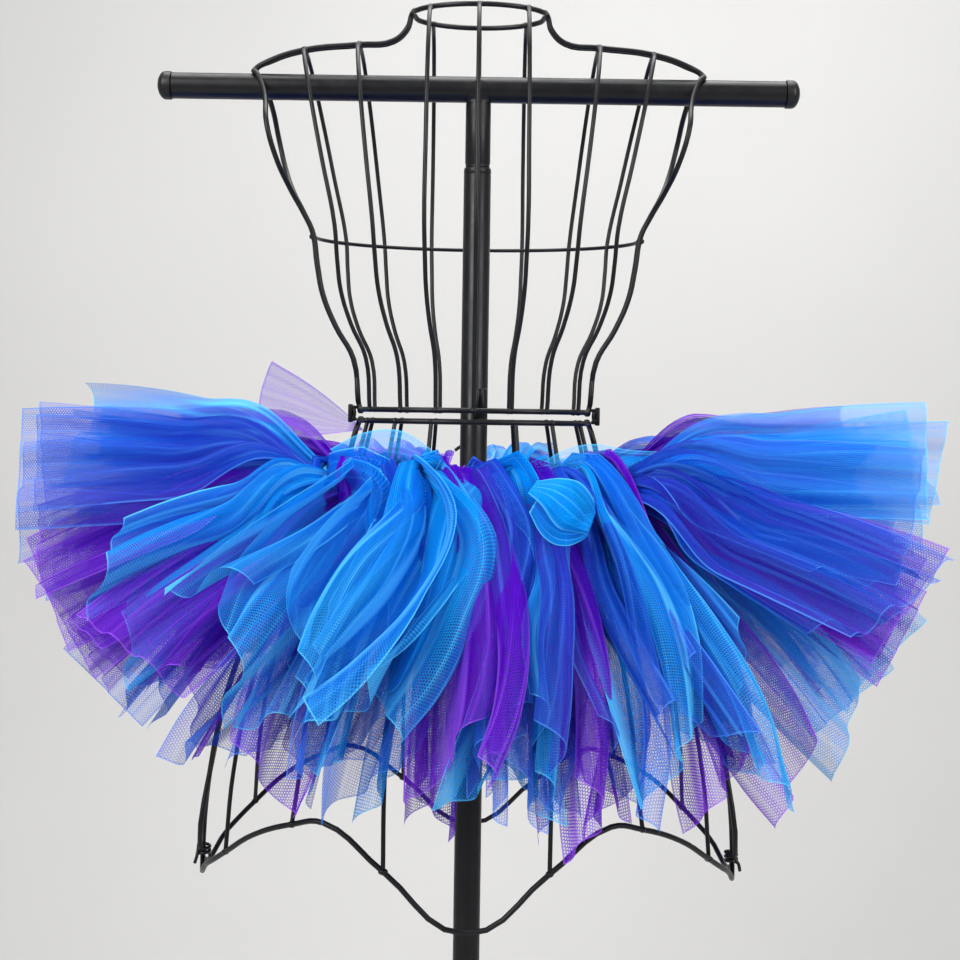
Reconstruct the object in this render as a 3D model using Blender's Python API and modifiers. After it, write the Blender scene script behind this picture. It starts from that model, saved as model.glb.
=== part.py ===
"""Tied tulle tutu skirt on a wire dress form with its stand.

Metres, +Z up. The front faces -Y and the wearer's left is at +X.
The origin is on the floor, at the middle of the base under the pole.
Bearings are degrees from the front, growing towards +X.
"""

import math

import bmesh
import bpy
from mathutils import Vector

# The stand: a flat base, a tube pole in two lengths and a cross bar through the shoulders.
BASE_RADIUS = 0.180
BASE_HEIGHT = 0.005
BASE_EDGE = 0.0012
SOCKET_RADIUS = 0.022
SOCKET_HEIGHT = 0.030
POLE_RADIUS = 0.0135
POLE_SEAM_Z = 1.325
UPPER_POLE_RADIUS = 0.0125
BAR_Z = 1.4015
BAR_RADIUS = 0.0127
BAR_LENGTH = 0.607
CAP_RADIUS = 0.0138
CAP_LENGTH = 0.014
CAP_DOME = (65.0, 40.0, 15.0)
CAP_STEPS = 16
TUBE_STEPS = 20
BASE_STEPS = 36
TOUCH = 0.0003

# The wire form: two welded halves above the waist and two below it.
OUTLINE_WIRE = 0.0026
RIB_WIRE = 0.0021
BUST_WIRE = 0.0019
BUST_WIRE_INSET = 0.0012
BUST_WIRE_DROP = 0.0040
# The flats of the ribs are turned from those of the outline, so that no two flats lie in one plane.
RIB_TURN = 0.21
HALF_GAP = 0.0031
NECK_Z = 1.4737
NECK_HALF_WIDTH = 0.067
NECK_HALF_DEPTH = 0.048
BUST_Z = 1.259
WAIST_TOP_Z = 1.084
WAIST_LOW_Z = 1.073
HEM_HALF_WIDTH = 0.267
HEM_HALF_DEPTH = 0.190
CHEST_ROUND = 3.0
CHEST_SHARES = (1.0, 0.96, 0.86, 0.66, 0.34)
RIB_FOOT = 0.02

# Height, half width, front depth, back depth of the form from the bust to the waist.
BODICE_LEVELS = (
    (1.259, 0.163, 0.120, 0.113),
    (1.227, 0.158, 0.114, 0.108),
    (1.197, 0.152, 0.106, 0.101),
    (1.166, 0.139, 0.098, 0.093),
    (1.134, 0.121, 0.090, 0.087),
    (1.084, 0.114, 0.085, 0.085),
)

# Height, half width, half depth of the form from the waist to the hem.
HIP_LEVELS = (
    (1.073, 0.114, 0.085),
    (1.022, 0.129, 0.097),
    (0.998, 0.139, 0.105),
    (0.950, 0.172, 0.129),
    (0.900, 0.203, 0.149),
    (0.830, 0.234, 0.168),
    (0.740, 0.257, 0.182),
    (0.6275, 0.267, 0.190),
)

# Side place, height of the shoulder wire from the neck ring to the shoulder tip.
SHOULDER_LINE = (
    (0.0710, 1.4610),
    (0.0850, 1.4480),
    (0.1180, 1.4440),
    (0.1720, 1.4380),
    (0.2050, 1.4275),
    (0.2220, 1.4171),
)

# Turn round the cross bar in degrees, side place, where the wire bends down over the bar's end.
SHOULDER_TURN = (
    (45.0, 0.2185),
    (78.0, 0.2140),
)

# Side place, depth, height of the armhole wire below the cross bar.
ARMHOLE_LINE = (
    (0.2080, 0.0260, 1.3870),
    (0.2030, 0.0480, 1.3560),
    (0.1950, 0.0400, 1.3260),
    (0.1840, 0.0180, 1.3000),
    (0.1720, 0.0060, 1.2780),
)

# Side place, height of the hem wire from the side to the middle.
HEM_LINE = (
    (0.267, 0.6275),
    (0.252, 0.6420),
    (0.229, 0.6630),
    (0.198, 0.6880),
    (0.160, 0.7045),
    (0.130, 0.7100),
    (0.0745, 0.6710),
    (0.000, 0.6185),
)

# Side place of each bodice rib at its top, at the bust and at the waist.
BODICE_RIBS = (
    (-0.172, -0.135, -0.1015),
    (-0.118, -0.097, -0.0700),
    (-0.047, -0.048, -0.0360),
    (0.000, 0.000, 0.0000),
    (0.047, 0.048, 0.0360),
    (0.118, 0.097, 0.0700),
    (0.172, 0.135, 0.1015),
)

# Side place of each hip rib at the waist and at the hem.
HIP_RIBS = (
    (-0.1035, -0.229),
    (-0.0750, -0.160),
    (-0.0400, -0.0745),
    (0.0400, 0.0745),
    (0.0750, 0.160),
    (0.1035, 0.229),
)

# Side places of the points of each half ring, from its end to the middle. Ribs meet the wires at them.
NECK_PLACES = (0.061, 0.047, 0.026, 0.000)
BUST_PLACES = (0.156, 0.135, 0.097, 0.048, 0.000)
WAIST_TOP_PLACES = (0.1115, 0.1015, 0.0700, 0.0360, 0.000)
WAIST_LOW_PLACES = (0.1115, 0.1035, 0.0750, 0.0400, 0.000)

# The clamps that hook the halves together.
CLAMP_DEPTH = 0.016
CLAMP_WIDTH = 0.008
CLAMP_HEIGHT = 0.018
CLAMP_STAND_OFF = 0.0006
CLAMP_RISE = 0.0015
CLAMP_EDGE = 0.0015
HEM_CLAMP_RING = 0.0074
HEM_CLAMP_WIRE = 0.0020
HEM_CLAMP_LIFT = 0.010
BRACKET_SIZE = (0.014, 0.009, 0.030)
BRACKET_SIDE = 0.006
BRACKET_RISE = 0.008
PIN_RADIUS = 0.0016
PIN_LENGTH = 0.024
PIN_DROP = 0.026
PIN_ANGLE = 37.0

# The waistband is an elastic ribbon round the form's hips.
BAND_TOP_Z = 1.022
BAND_LOW_Z = 0.998
BAND_WALL = 0.002
BAND_CLEAR = 0.0035
BAND_SIDES = 48

# The tulle: strips folded over the band, each with two tails that fan out from one knot.
STRIP_COUNT = 39
TIERS = 3
STRIP_FOLDS = 4
STRIP_WALL = 0.0012
KNOT_WALL = 0.0060
ROOT_Z = 1.010
ROOT_GAP = 0.0006
TIER_FILL = 0.94
FOLD_DEPTH = 0.011
TIP_POINT = 0.055
TIP_UNEVEN = 0.020
LENGTH_UNEVEN = 0.035
FOLD_UNEVEN = 0.35
FIRST_BEARING = 3.0
STRIP_ROLL = 3.0

# Share of a strip's length, share of its full spread, share of its fold depth, wall of each section.
STRIP_SECTIONS = (
    (0.00, 0.28, 0.00, KNOT_WALL),
    (0.06, 0.28, 0.08, 0.0036),
    (0.16, 0.44, 0.24, STRIP_WALL),
    (0.38, 0.86, 0.62, STRIP_WALL),
    (0.68, 1.00, 0.90, STRIP_WALL),
    (1.00, 1.00, 1.00, STRIP_WALL),
)

# Bearing, rise of the top, middle and low tier in degrees, length of the strips.
LIFT = (
    (0.0, -30.0, -43.0, -53.5, 0.322),
    (45.0, -7.0, -24.0, -41.0, 0.314),
    (90.0, 13.0, -10.0, -32.0, 0.308),
    (135.0, 8.0, -14.0, -36.0, 0.318),
    (180.0, 1.0, -20.0, -42.0, 0.320),
    (225.0, 8.0, -14.0, -36.0, 0.312),
    (270.0, 15.0, -10.0, -33.0, 0.290),
    (315.0, -8.0, -24.0, -40.0, 0.300),
)

# How far each tier bends down between its knot and its tip, in degrees.
TIER_BEND = (9.0, 14.0, 18.0)

# Bearing, rise, bend, length, tip width and root height of the tail that stands up at the left.
RAISED_TAIL = (-120.0, 42.0, 24.0, 0.158, 0.092, 1.0185)
RAISED_SHARES = (0.0, 0.15, 0.4, 0.7, 1.0)
RAISED_COLUMNS = 4
RAISED_WAVE = 0.006
RAISED_TILT = 0.25

# Bearing, rise, bend, length, roll width and side drift of the two curls at the front knots.
CURLS = {
    "front_curl_left": (2.0, 22.0, 84.0, 0.120, 0.074, -0.045),
    "front_curl_right": (27.0, 34.0, 80.0, 0.092, 0.062, 0.010),
}
CURL_ROOT_Z = 1.0185
CURL_ARCH = 0.026
CURL_HALF_TURN = 100.0
CURL_SHARES = (0.0, 0.12, 0.3, 0.55, 0.8, 1.0)
CURL_COLUMNS = 6
ROOT_WIDTH_SHARE = 0.13

COLOURS = {
    "turquoise tulle": (0.05, 0.50, 0.85),
    "royal blue tulle": (0.04, 0.10, 0.65),
    "violet tulle": (0.22, 0.03, 0.65),
    "navy ribbon": (0.01, 0.01, 0.06),
    "black painted steel": (0.01, 0.01, 0.012),
    "black plastic": (0.015, 0.015, 0.015),
}
TULLE_NAMES = {"t": "turquoise tulle", "r": "royal blue tulle", "v": "violet tulle"}
# The colour letter of each strip, from the front round over +X.
STRIP_COLOURS = "rtvrtvrvttrvvrtrtvtrrvtrvtrtrvrvrtvrttv"


def clear_scene():
    for thing in list(bpy.data.objects):
        bpy.data.objects.remove(thing, do_unlink=True)


def new_collection(name):
    collection = bpy.data.collections.new(name)
    bpy.context.scene.collection.children.link(collection)
    return collection


def material(name):
    found = bpy.data.materials.get(name)
    if found:
        return found
    made = bpy.data.materials.new(name)
    made.use_nodes = True
    shader = made.node_tree.nodes["Principled BSDF"]
    shader.inputs["Base Color"].default_value = (*COLOURS[name], 1.0)
    shader.inputs["Roughness"].default_value = 0.8 if "tulle" in name else 0.35
    shader.inputs["Metallic"].default_value = 0.6 if "steel" in name else 0.0
    return made


def place(name, mesh, finish, collection):
    """A named object of the part, with its material."""
    thing = bpy.data.objects.new(name, mesh)
    mesh.materials.append(material(finish))
    collection.objects.link(thing)
    return thing


def hermite(rows, at, column):
    """The value of a column at a place along the first column, on a smooth curve through the rows."""
    places = [row[0] for row in rows]
    step = 1 if places[-1] > places[0] else -1
    last = len(rows) - 1
    low = 0
    while low < last - 1 and (at - places[low + 1]) * step > 0:
        low += 1
    before, after = max(low - 1, 0), min(low + 2, last)
    width = places[low + 1] - places[low]
    t = (at - places[low]) / width
    start, end = rows[low][column], rows[low + 1][column]
    slope_in = (end - rows[before][column]) / (places[low + 1] - places[before]) * width
    slope_out = (rows[after][column] - start) / (places[after] - places[low]) * width
    return (
        (2 * t**3 - 3 * t**2 + 1) * start
        + (t**3 - 2 * t**2 + t) * slope_in
        + (3 * t**2 - 2 * t**3) * end
        + (t**3 - t**2) * slope_out
    )


def linear(rows, at, column):
    """The value of a column at a height, on straight lines between rows that go down."""
    for upper, lower in zip(rows, rows[1:]):
        if at >= lower[0]:
            share = (upper[0] - at) / (upper[0] - lower[0])
            return upper[column] + share * (lower[column] - upper[column])
    return rows[-1][column]


def depth_at(x, half_width, half_depth):
    """The depth of an ellipse at a side place, never closer to the side seam than half the gap."""
    inside = max(0.0, 1 - (x / half_width) ** 2)
    return max(HALF_GAP, half_depth * math.sqrt(inside))


def half_ring(half_width, half_depth, z, face, places):
    """Points of a half ring from -X to +X. The face is -1 for the front and 1 for the back."""
    right = []
    for x in (half_width, *places):
        right.append((x, face * depth_at(x, half_width, half_depth), z))
    left = [(-x, y, z) for x, y, z in right]
    return left + list(reversed(right[:-1]))


def shoulder_height(x):
    return hermite(SHOULDER_LINE, abs(x), 1)


def bodice_side(face):
    """One side of a bodice half at +X, from the neck down to the waist: shoulder, armhole and side."""
    points = []
    for x, z in SHOULDER_LINE:
        points.append((x, face * HALF_GAP, z))
    # The wire lies over the bar at the shoulder tip and turns down beside it.
    over_bar = BAR_RADIUS + OUTLINE_WIRE + 3 * TOUCH
    for degrees, x in SHOULDER_TURN:
        turn = math.radians(degrees)
        y = over_bar * math.sin(turn)
        z = BAR_Z + over_bar * math.cos(turn)
        points.append((x, face * y, z))
    for x, y, z in ARMHOLE_LINE:
        points.append((x, face * y, z))
    for z, half_width, _, _ in BODICE_LEVELS[:-1]:
        points.append((half_width, face * HALF_GAP, z))
    return points


def mirrored(points):
    return [(-x, y, z) for x, y, z in reversed(points)]


def bodice_outline(face):
    neck = half_ring(NECK_HALF_WIDTH, NECK_HALF_DEPTH, NECK_Z, face, NECK_PLACES)
    _, half_width, front, back = BODICE_LEVELS[-1]
    depth = front if face < 0 else back
    waist = half_ring(half_width, depth, WAIST_TOP_Z, face, WAIST_TOP_PLACES)
    side = bodice_side(face)
    return neck + side + list(reversed(waist)) + mirrored(side)


def bodice_rib(row, face):
    """A rib from the neck ring or the shoulder wire, over the chest and down to the waist ring."""
    top_x, bust_x, waist_x = row
    column = 2 if face < 0 else 3
    bust_depth = depth_at(bust_x, BODICE_LEVELS[0][1], BODICE_LEVELS[0][column])
    if abs(top_x) < NECK_HALF_WIDTH:
        top_z = NECK_Z
        top_depth = depth_at(top_x, NECK_HALF_WIDTH, NECK_HALF_DEPTH)
    else:
        top_z = shoulder_height(top_x)
        top_depth = HALF_GAP
    points = []
    for share in CHEST_SHARES:
        z = BUST_Z + (top_z - BUST_Z) * share
        out = math.sqrt(1 - share**CHEST_ROUND)
        y = top_depth + (bust_depth - top_depth) * out
        x = bust_x + (top_x - bust_x) * share
        points.append((x, face * y, z))
    for level in BODICE_LEVELS:
        share = (BUST_Z - level[0]) / (BUST_Z - WAIST_TOP_Z)
        first = bust_x / BODICE_LEVELS[0][1]
        last = waist_x / BODICE_LEVELS[-1][1]
        x = level[1] * (first + (last - first) * share)
        points.append((x, face * depth_at(x, level[1], level[column]), level[0]))
    return points


def hem_height(x):
    rows = sorted(HEM_LINE)
    for near, far in zip(rows, rows[1:]):
        if abs(x) <= far[0]:
            return near[1] + (abs(x) - near[0]) / (far[0] - near[0]) * (far[1] - near[1])
    return rows[-1][1]


def hip_outline(face):
    _, half_width, half_depth = HIP_LEVELS[0]
    waist = half_ring(half_width, half_depth, WAIST_LOW_Z, face, WAIST_LOW_PLACES)
    side = [(half_width, face * HALF_GAP, z) for z, half_width, _ in HIP_LEVELS[1:-1]]
    hem = []
    for x, z in HEM_LINE:
        hem.append((x, face * depth_at(x, HEM_HALF_WIDTH, HEM_HALF_DEPTH), z))
    return waist + side + hem + mirrored(hem[:-1]) + mirrored(side)


def hip_rib(row, face):
    """A rib of the skirt frame, from the lower waist ring to the hem wire."""
    waist_x, hem_x = row
    foot_z = hem_height(hem_x)
    points = []
    for z, half_width, half_depth in HIP_LEVELS:
        if z < foot_z + RIB_FOOT:
            break
        share = (WAIST_LOW_Z - z) / (WAIST_LOW_Z - foot_z)
        first, last = waist_x / HIP_LEVELS[0][1], hem_x / HEM_HALF_WIDTH
        x = half_width * (first + (last - first) * share)
        points.append((x, face * depth_at(x, half_width, half_depth), z))
    foot_y = depth_at(hem_x, HEM_HALF_WIDTH, HEM_HALF_DEPTH)
    points.append((hem_x, face * foot_y, foot_z))
    return points


def wire_mesh(name, paths, radius, closed=False, turn=0.0):
    """Six-sided wires along paths of points, as one welded mesh."""
    curve = bpy.data.curves.new(name, "CURVE")
    curve.dimensions = "3D"
    curve.bevel_depth = radius
    curve.bevel_resolution = 1
    curve.use_fill_caps = True
    for path in paths:
        spline = curve.splines.new("POLY")
        spline.points.add(len(path) - 1)
        for point, place_at in zip(spline.points, path):
            point.co = (*place_at, 1.0)
            point.tilt = turn
        spline.use_cyclic_u = closed
    guide = bpy.data.objects.new(name, curve)
    bpy.context.scene.collection.objects.link(guide)
    bpy.context.view_layer.update()
    graph = bpy.context.evaluated_depsgraph_get()
    mesh = bpy.data.meshes.new_from_object(guide.evaluated_get(graph))
    bpy.data.objects.remove(guide, do_unlink=True)
    bpy.data.curves.remove(curve)
    shape = bmesh.new()
    shape.from_mesh(mesh)
    bmesh.ops.remove_doubles(shape, verts=shape.verts, dist=0.00001)
    bmesh.ops.recalc_face_normals(shape, faces=shape.faces)
    shape.to_mesh(mesh)
    shape.free()
    return mesh


def welded_cage(name, outline, wires, parts, cutters):
    """A closed outline wire with its ribs and cross wires welded on."""
    frame_mesh = wire_mesh(name, [outline], OUTLINE_WIRE, closed=True)
    cage = place(name, frame_mesh, "black painted steel", parts)
    for suffix, paths, radius in wires:
        mesh = wire_mesh(suffix, paths, radius, turn=RIB_TURN)
        tool = bpy.data.objects.new(f"{name}_{suffix}", mesh)
        tool.hide_render = True
        tool.display_type = "WIRE"
        cutters.objects.link(tool)
        weld = cage.modifiers.new(f"weld {suffix}", "BOOLEAN")
        weld.operation = "UNION"
        weld.solver = "EXACT"
        weld.object = tool
    return cage


def build_form(parts, cutters):
    for side_name, face in (("front", -1), ("back", 1)):
        ribs = [bodice_rib(row, face) for row in BODICE_RIBS]
        wires = [("ribs", ribs, RIB_WIRE)]
        if face > 0:
            level = BODICE_LEVELS[0]
            depth = level[3] - BUST_WIRE_INSET
            bust = half_ring(level[1], depth, BUST_Z - BUST_WIRE_DROP, face, BUST_PLACES)
            wires.append(("bust_wire", [bust], BUST_WIRE))
        welded_cage(f"bodice_{side_name}", bodice_outline(face), wires, parts, cutters)
    for side_name, face in (("front", -1), ("back", 1)):
        ribs = [hip_rib(row, face) for row in HIP_RIBS]
        wires = [("ribs", ribs, RIB_WIRE)]
        welded_cage(f"hip_{side_name}", hip_outline(face), wires, parts, cutters)


def turned(name, profile, steps, finish, parts):
    """A round piece from a profile of radius and height that runs down its outer side."""
    mesh = bpy.data.meshes.new(name)
    edges = [(i, i + 1) for i in range(len(profile) - 1)]
    mesh.from_pydata([(radius, 0.0, z) for radius, z in profile], edges, [])
    thing = place(name, mesh, finish, parts)
    screw = thing.modifiers.new("turn", "SCREW")
    screw.steps = steps
    screw.render_steps = steps
    screw.use_merge_vertices = True
    screw.merge_threshold = 0.0001
    screw.use_smooth_shade = True
    return thing


def build_stand(parts):
    top = BASE_HEIGHT
    socket_top = top + SOCKET_HEIGHT
    turned(
        "base_plate",
        (
            (0.0, socket_top),
            (SOCKET_RADIUS - BASE_EDGE, socket_top),
            (SOCKET_RADIUS, socket_top - BASE_EDGE),
            (SOCKET_RADIUS, top),
            (BASE_RADIUS - BASE_EDGE, top),
            (BASE_RADIUS, top - BASE_EDGE),
            (BASE_RADIUS, 0.0),
            (0.0, 0.0),
        ),
        BASE_STEPS,
        "black painted steel",
        parts,
    )
    foot = socket_top + TOUCH
    seam = POLE_SEAM_Z
    turned(
        "pole",
        (
            (0.0, seam),
            (POLE_RADIUS - BASE_EDGE, seam),
            (POLE_RADIUS, seam - BASE_EDGE),
            (POLE_RADIUS, foot),
            (0.0, foot),
        ),
        TUBE_STEPS,
        "black painted steel",
        parts,
    )
    bar_low = BAR_Z - BAR_RADIUS - TOUCH
    turned(
        "upper_pole",
        (
            (0.0, bar_low),
            (UPPER_POLE_RADIUS, bar_low),
            (UPPER_POLE_RADIUS, seam + TOUCH),
            (0.0, seam + TOUCH),
        ),
        TUBE_STEPS,
        "black painted steel",
        parts,
    )
    cross = turned(
        "cross_bar",
        (
            (0.0, BAR_LENGTH / 2),
            (BAR_RADIUS, BAR_LENGTH / 2),
            (BAR_RADIUS, -BAR_LENGTH / 2),
            (0.0, -BAR_LENGTH / 2),
        ),
        TUBE_STEPS,
        "black painted steel",
        parts,
    )
    cross.rotation_euler = (0.0, math.radians(90), 0.0)
    cross.location = (0.0, 0.0, BAR_Z)
    for name, side in (("bar_cap_left", -1), ("bar_cap_right", 1)):
        dome = [(0.0, CAP_LENGTH)]
        for degrees in CAP_DOME:
            turn = math.radians(degrees)
            rise = 0.5 * CAP_LENGTH * (1 + math.sin(turn))
            dome.append((CAP_RADIUS * math.cos(turn), rise))
        dome += [(CAP_RADIUS, 0.0), (0.0, 0.0)]
        cap = turned(name, dome, CAP_STEPS, "black plastic", parts)
        cap.rotation_euler = (0.0, math.radians(90) * side, 0.0)
        cap.location = (side * (BAR_LENGTH / 2 + TOUCH), 0.0, BAR_Z)


def block(name, size, centre, edge, finish, parts):
    shape = bmesh.new()
    bmesh.ops.create_cube(shape, size=1.0)
    bmesh.ops.scale(shape, vec=size, verts=shape.verts)
    bmesh.ops.bevel(
        shape, geom=shape.edges[:], offset=edge, segments=1, affect="EDGES", profile=0.5, material=-1
    )
    bmesh.ops.translate(shape, vec=centre, verts=shape.verts)
    mesh = bpy.data.meshes.new(name)
    shape.to_mesh(mesh)
    shape.free()
    return place(name, mesh, finish, parts)


def build_clamps(parts):
    waist_x = HIP_LEVELS[0][1] + OUTLINE_WIRE + CLAMP_STAND_OFF + CLAMP_WIDTH / 2
    waist_z = (WAIST_TOP_Z + WAIST_LOW_Z) / 2 + CLAMP_RISE
    size = (CLAMP_WIDTH, CLAMP_DEPTH, CLAMP_HEIGHT)
    for name, side in (("waist_clamp_left", -1), ("waist_clamp_right", 1)):
        block(name, size, (side * waist_x, 0.0, waist_z), CLAMP_EDGE, "black painted steel", parts)
    for name, side in (("hem_clamp_left", -1), ("hem_clamp_right", 1)):
        # A ring of wire round both side wires, just above the corners of the hem.
        z, half_width, _ = HIP_LEVELS[-1]
        upper = HIP_LEVELS[-2]
        lean = math.atan2(half_width - upper[1], upper[0] - z)
        centre_x = side * (half_width - HEM_CLAMP_LIFT * math.tan(lean))
        bpy.ops.mesh.primitive_torus_add(
            major_radius=HEM_CLAMP_RING,
            minor_radius=HEM_CLAMP_WIRE,
            major_segments=12,
            minor_segments=6,
            location=(centre_x, 0.0, z + HEM_CLAMP_LIFT),
            rotation=(0.0, -side * lean, 0.0),
        )
        ring = bpy.context.object
        ring.name = name
        ring.data.materials.append(material("black painted steel"))
        for holder in list(ring.users_collection):
            holder.objects.unlink(ring)
        parts.objects.link(ring)
    bracket_y = -(POLE_RADIUS + TOUCH + BRACKET_SIZE[1] / 2)
    bracket_at = (BRACKET_SIDE, bracket_y, WAIST_TOP_Z + BRACKET_RISE)
    block("pole_bracket", BRACKET_SIZE, bracket_at, CLAMP_EDGE, "black painted steel", parts)
    start = Vector((0.0, POLE_RADIUS + PIN_RADIUS + TOUCH, WAIST_TOP_Z - PIN_DROP))
    slant = math.radians(PIN_ANGLE)
    end = start + Vector((-math.cos(slant), 0.0, -math.sin(slant))) * PIN_LENGTH
    pin = wire_mesh("pole_pin", [[start, end]], PIN_RADIUS)
    place("pole_pin", pin, "black painted steel", parts)


def band_ring(z):
    """Half width and half depth of the band's outer face at a height."""
    out = BAND_CLEAR + BAND_WALL
    return linear(HIP_LEVELS, z, 1) + out, linear(HIP_LEVELS, z, 2) + out


def build_band(parts):
    shape = bmesh.new()
    rings = []
    for z in (BAND_TOP_Z, BAND_LOW_Z):
        half_width, half_depth = band_ring(z)
        made = bmesh.ops.create_circle(shape, segments=BAND_SIDES, radius=1.0)
        size = (half_width - BAND_WALL, half_depth - BAND_WALL, 1.0)
        bmesh.ops.scale(shape, vec=size, verts=made["verts"])
        bmesh.ops.translate(shape, vec=(0.0, 0.0, z), verts=made["verts"])
        rings.append(made["verts"])
    bmesh.ops.bridge_loops(shape, edges=shape.edges[:])
    bmesh.ops.recalc_face_normals(shape, faces=shape.faces)
    mesh = bpy.data.meshes.new("waistband")
    shape.to_mesh(mesh)
    shape.free()
    band = place("waistband", mesh, "navy ribbon", parts)
    wall = band.modifiers.new("wall", "SOLIDIFY")
    wall.thickness = BAND_WALL
    wall.offset = 1.0
    return band


def ripple(index, seed):
    """A fixed uneven number from -1 to 1 for a strip or a fold."""
    return math.sin(index * 2.399 + seed * 1.71) * 0.6 + math.sin(index * 5.13 + seed) * 0.4


def lift_at(bearing, column):
    """A column of the lift table at any bearing, on a smooth closed curve."""
    turn = bearing % 360.0
    rows = [(row[0] - 360.0, *row[1:]) for row in LIFT[-2:]]
    rows += list(LIFT)
    rows += [(row[0] + 360.0, *row[1:]) for row in LIFT[:3]]
    return hermite(rows, turn, column)


def centre_line(rise, bend, length, shares):
    """Reach and climb of a strip at each share of its length, bending down as it goes."""
    reach, climb, last = 0.0, 0.0, 0.0
    line = []
    for share in shares:
        middle = (share + last) / 2
        turn = math.radians(rise + bend * (0.5 - middle))
        reach += (share - last) * length * math.cos(turn)
        climb += (share - last) * length * math.sin(turn)
        last = share
        slope = math.radians(rise + bend * (0.5 - share))
        line.append((reach, climb, slope))
    return line


def seated_root(bearing, z, slope, wall):
    """The middle of a strip's root, so that its near corner is clear of the band's sloping face."""
    half_width, half_depth = band_ring(z)
    upper, lower = band_ring(BAND_TOP_Z), band_ring(BAND_LOW_Z)
    taper = (lower[0] - upper[0]) / (BAND_TOP_Z - BAND_LOW_Z)
    lean = abs(taper * math.cos(slope) - math.sin(slope))
    out = ROOT_GAP + lean * wall / 2
    turn = math.radians(bearing)
    return Vector(
        ((half_width + out) * math.sin(turn), -(half_depth + out) * math.cos(turn), z)
    )


def band_directions(bearing):
    """Straight out from the band, and along it, at a bearing."""
    turn = math.radians(bearing)
    half_width, half_depth = band_ring(ROOT_Z)
    along = Vector((half_width * math.cos(turn), half_depth * math.sin(turn), 0.0)).normalized()
    return Vector((along.y, -along.x, 0.0)), along


def cloth_grid(name, columns, rows, point_at, wall_at, finish, parts):
    """A strip of cloth as an open grid with a wall. Its thickness may grow towards the knot."""
    shape = bmesh.new()
    bmesh.ops.create_grid(shape, x_segments=columns, y_segments=rows, size=1.0)
    widest = max(wall_at(i) for i in range(rows + 1))
    weights = {}
    for vert in shape.verts:
        column = round((vert.co.x + 1) / 2 * columns)
        row = round((vert.co.y + 1) / 2 * rows)
        vert.co = point_at(column, row)
        weights[vert.index] = wall_at(row) / widest
    mesh = bpy.data.meshes.new(name)
    shape.to_mesh(mesh)
    shape.free()
    strip = place(name, mesh, finish, parts)
    group = strip.vertex_groups.new(name="wall")
    for index, weight in weights.items():
        group.add([index], weight, "REPLACE")
    wall = strip.modifiers.new("wall", "SOLIDIFY")
    wall.thickness = widest
    wall.offset = 0.0
    wall.vertex_group = group.name
    return strip


def build_strip(number, parts):
    """One strip of tulle: a knot on the band and two tails that fan out with soft folds."""
    tier = number % TIERS
    step = 360.0 / STRIP_COUNT
    bearing = FIRST_BEARING + number * step
    length = lift_at(bearing, 4) * (1 + LENGTH_UNEVEN * ripple(number, 2.0))
    shares = [row[0] for row in STRIP_SECTIONS]
    half_spread = TIER_FILL * 0.5 * 360.0 * TIERS / STRIP_COUNT
    columns = 2 * STRIP_FOLDS
    roll = STRIP_ROLL * ripple(number, 1.0)

    def point_at(column, row):
        _, spread, fold, _ = STRIP_SECTIONS[row]
        across = 2 * column / columns - 1
        at = bearing + across * half_spread * spread
        rise = lift_at(at, 1 + tier) + roll * across
        line = centre_line(rise, TIER_BEND[tier], length, shares)
        reach, climb, slope = line[row]
        out = math.radians(at)
        outward = Vector((math.sin(out), -math.cos(out), 0.0))
        root = seated_root(at, ROOT_Z, line[0][2], STRIP_SECTIONS[0][3])
        if row == len(STRIP_SECTIONS) - 1:
            # Two pointed tails, cut a little unevenly.
            longer = -TIP_POINT * math.cos(2 * math.pi * across)
            longer += TIP_UNEVEN * ripple(column + 3 * number, 3.0)
            reach += length * longer * math.cos(slope)
            climb += length * longer * math.sin(slope)
        up = Vector((0.0, 0.0, 1.0))
        side = 1 if column % 2 else -1
        uneven = 1 + FOLD_UNEVEN * ripple(column + number, 4.0)
        depth = FOLD_DEPTH * fold * side * uneven
        normal = up * math.cos(slope) - outward * math.sin(slope)
        return root + outward * reach + up * climb + normal * depth

    def wall_at(row):
        return STRIP_SECTIONS[row][3]

    name = f"tulle_strip_{number + 1:02d}"
    finish = TULLE_NAMES[STRIP_COLOURS[number]]
    rows = len(STRIP_SECTIONS) - 1
    cloth_grid(name, columns, rows, point_at, wall_at, finish, parts)


def build_raised_tail(parts):
    """The end of one strip that stands up at the left, behind the side seam."""
    bearing, rise, bend, length, width, root_z = RAISED_TAIL
    line = centre_line(rise, bend, length, RAISED_SHARES)
    outward, sideways = band_directions(bearing)
    root = seated_root(bearing, root_z, line[0][2], STRIP_WALL)

    def point_at(column, row):
        reach, climb, slope = line[row]
        share = RAISED_SHARES[row]
        across = column / RAISED_COLUMNS - 0.5
        side_shift = width * (ROOT_WIDTH_SHARE + (1 - ROOT_WIDTH_SHARE) * share) * across
        normal = Vector((0.0, 0.0, math.cos(slope))) - outward * math.sin(slope)
        wave = RAISED_WAVE * share * (1 if column % 2 else -1)
        climb += RAISED_TILT * side_shift * share
        return root + outward * reach + Vector((0, 0, climb)) + sideways * side_shift + normal * wave

    def wall_at(row):
        return STRIP_WALL

    rows = len(RAISED_SHARES) - 1
    cloth_grid("raised_tail", RAISED_COLUMNS, rows, point_at, wall_at, "violet tulle", parts)


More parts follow.
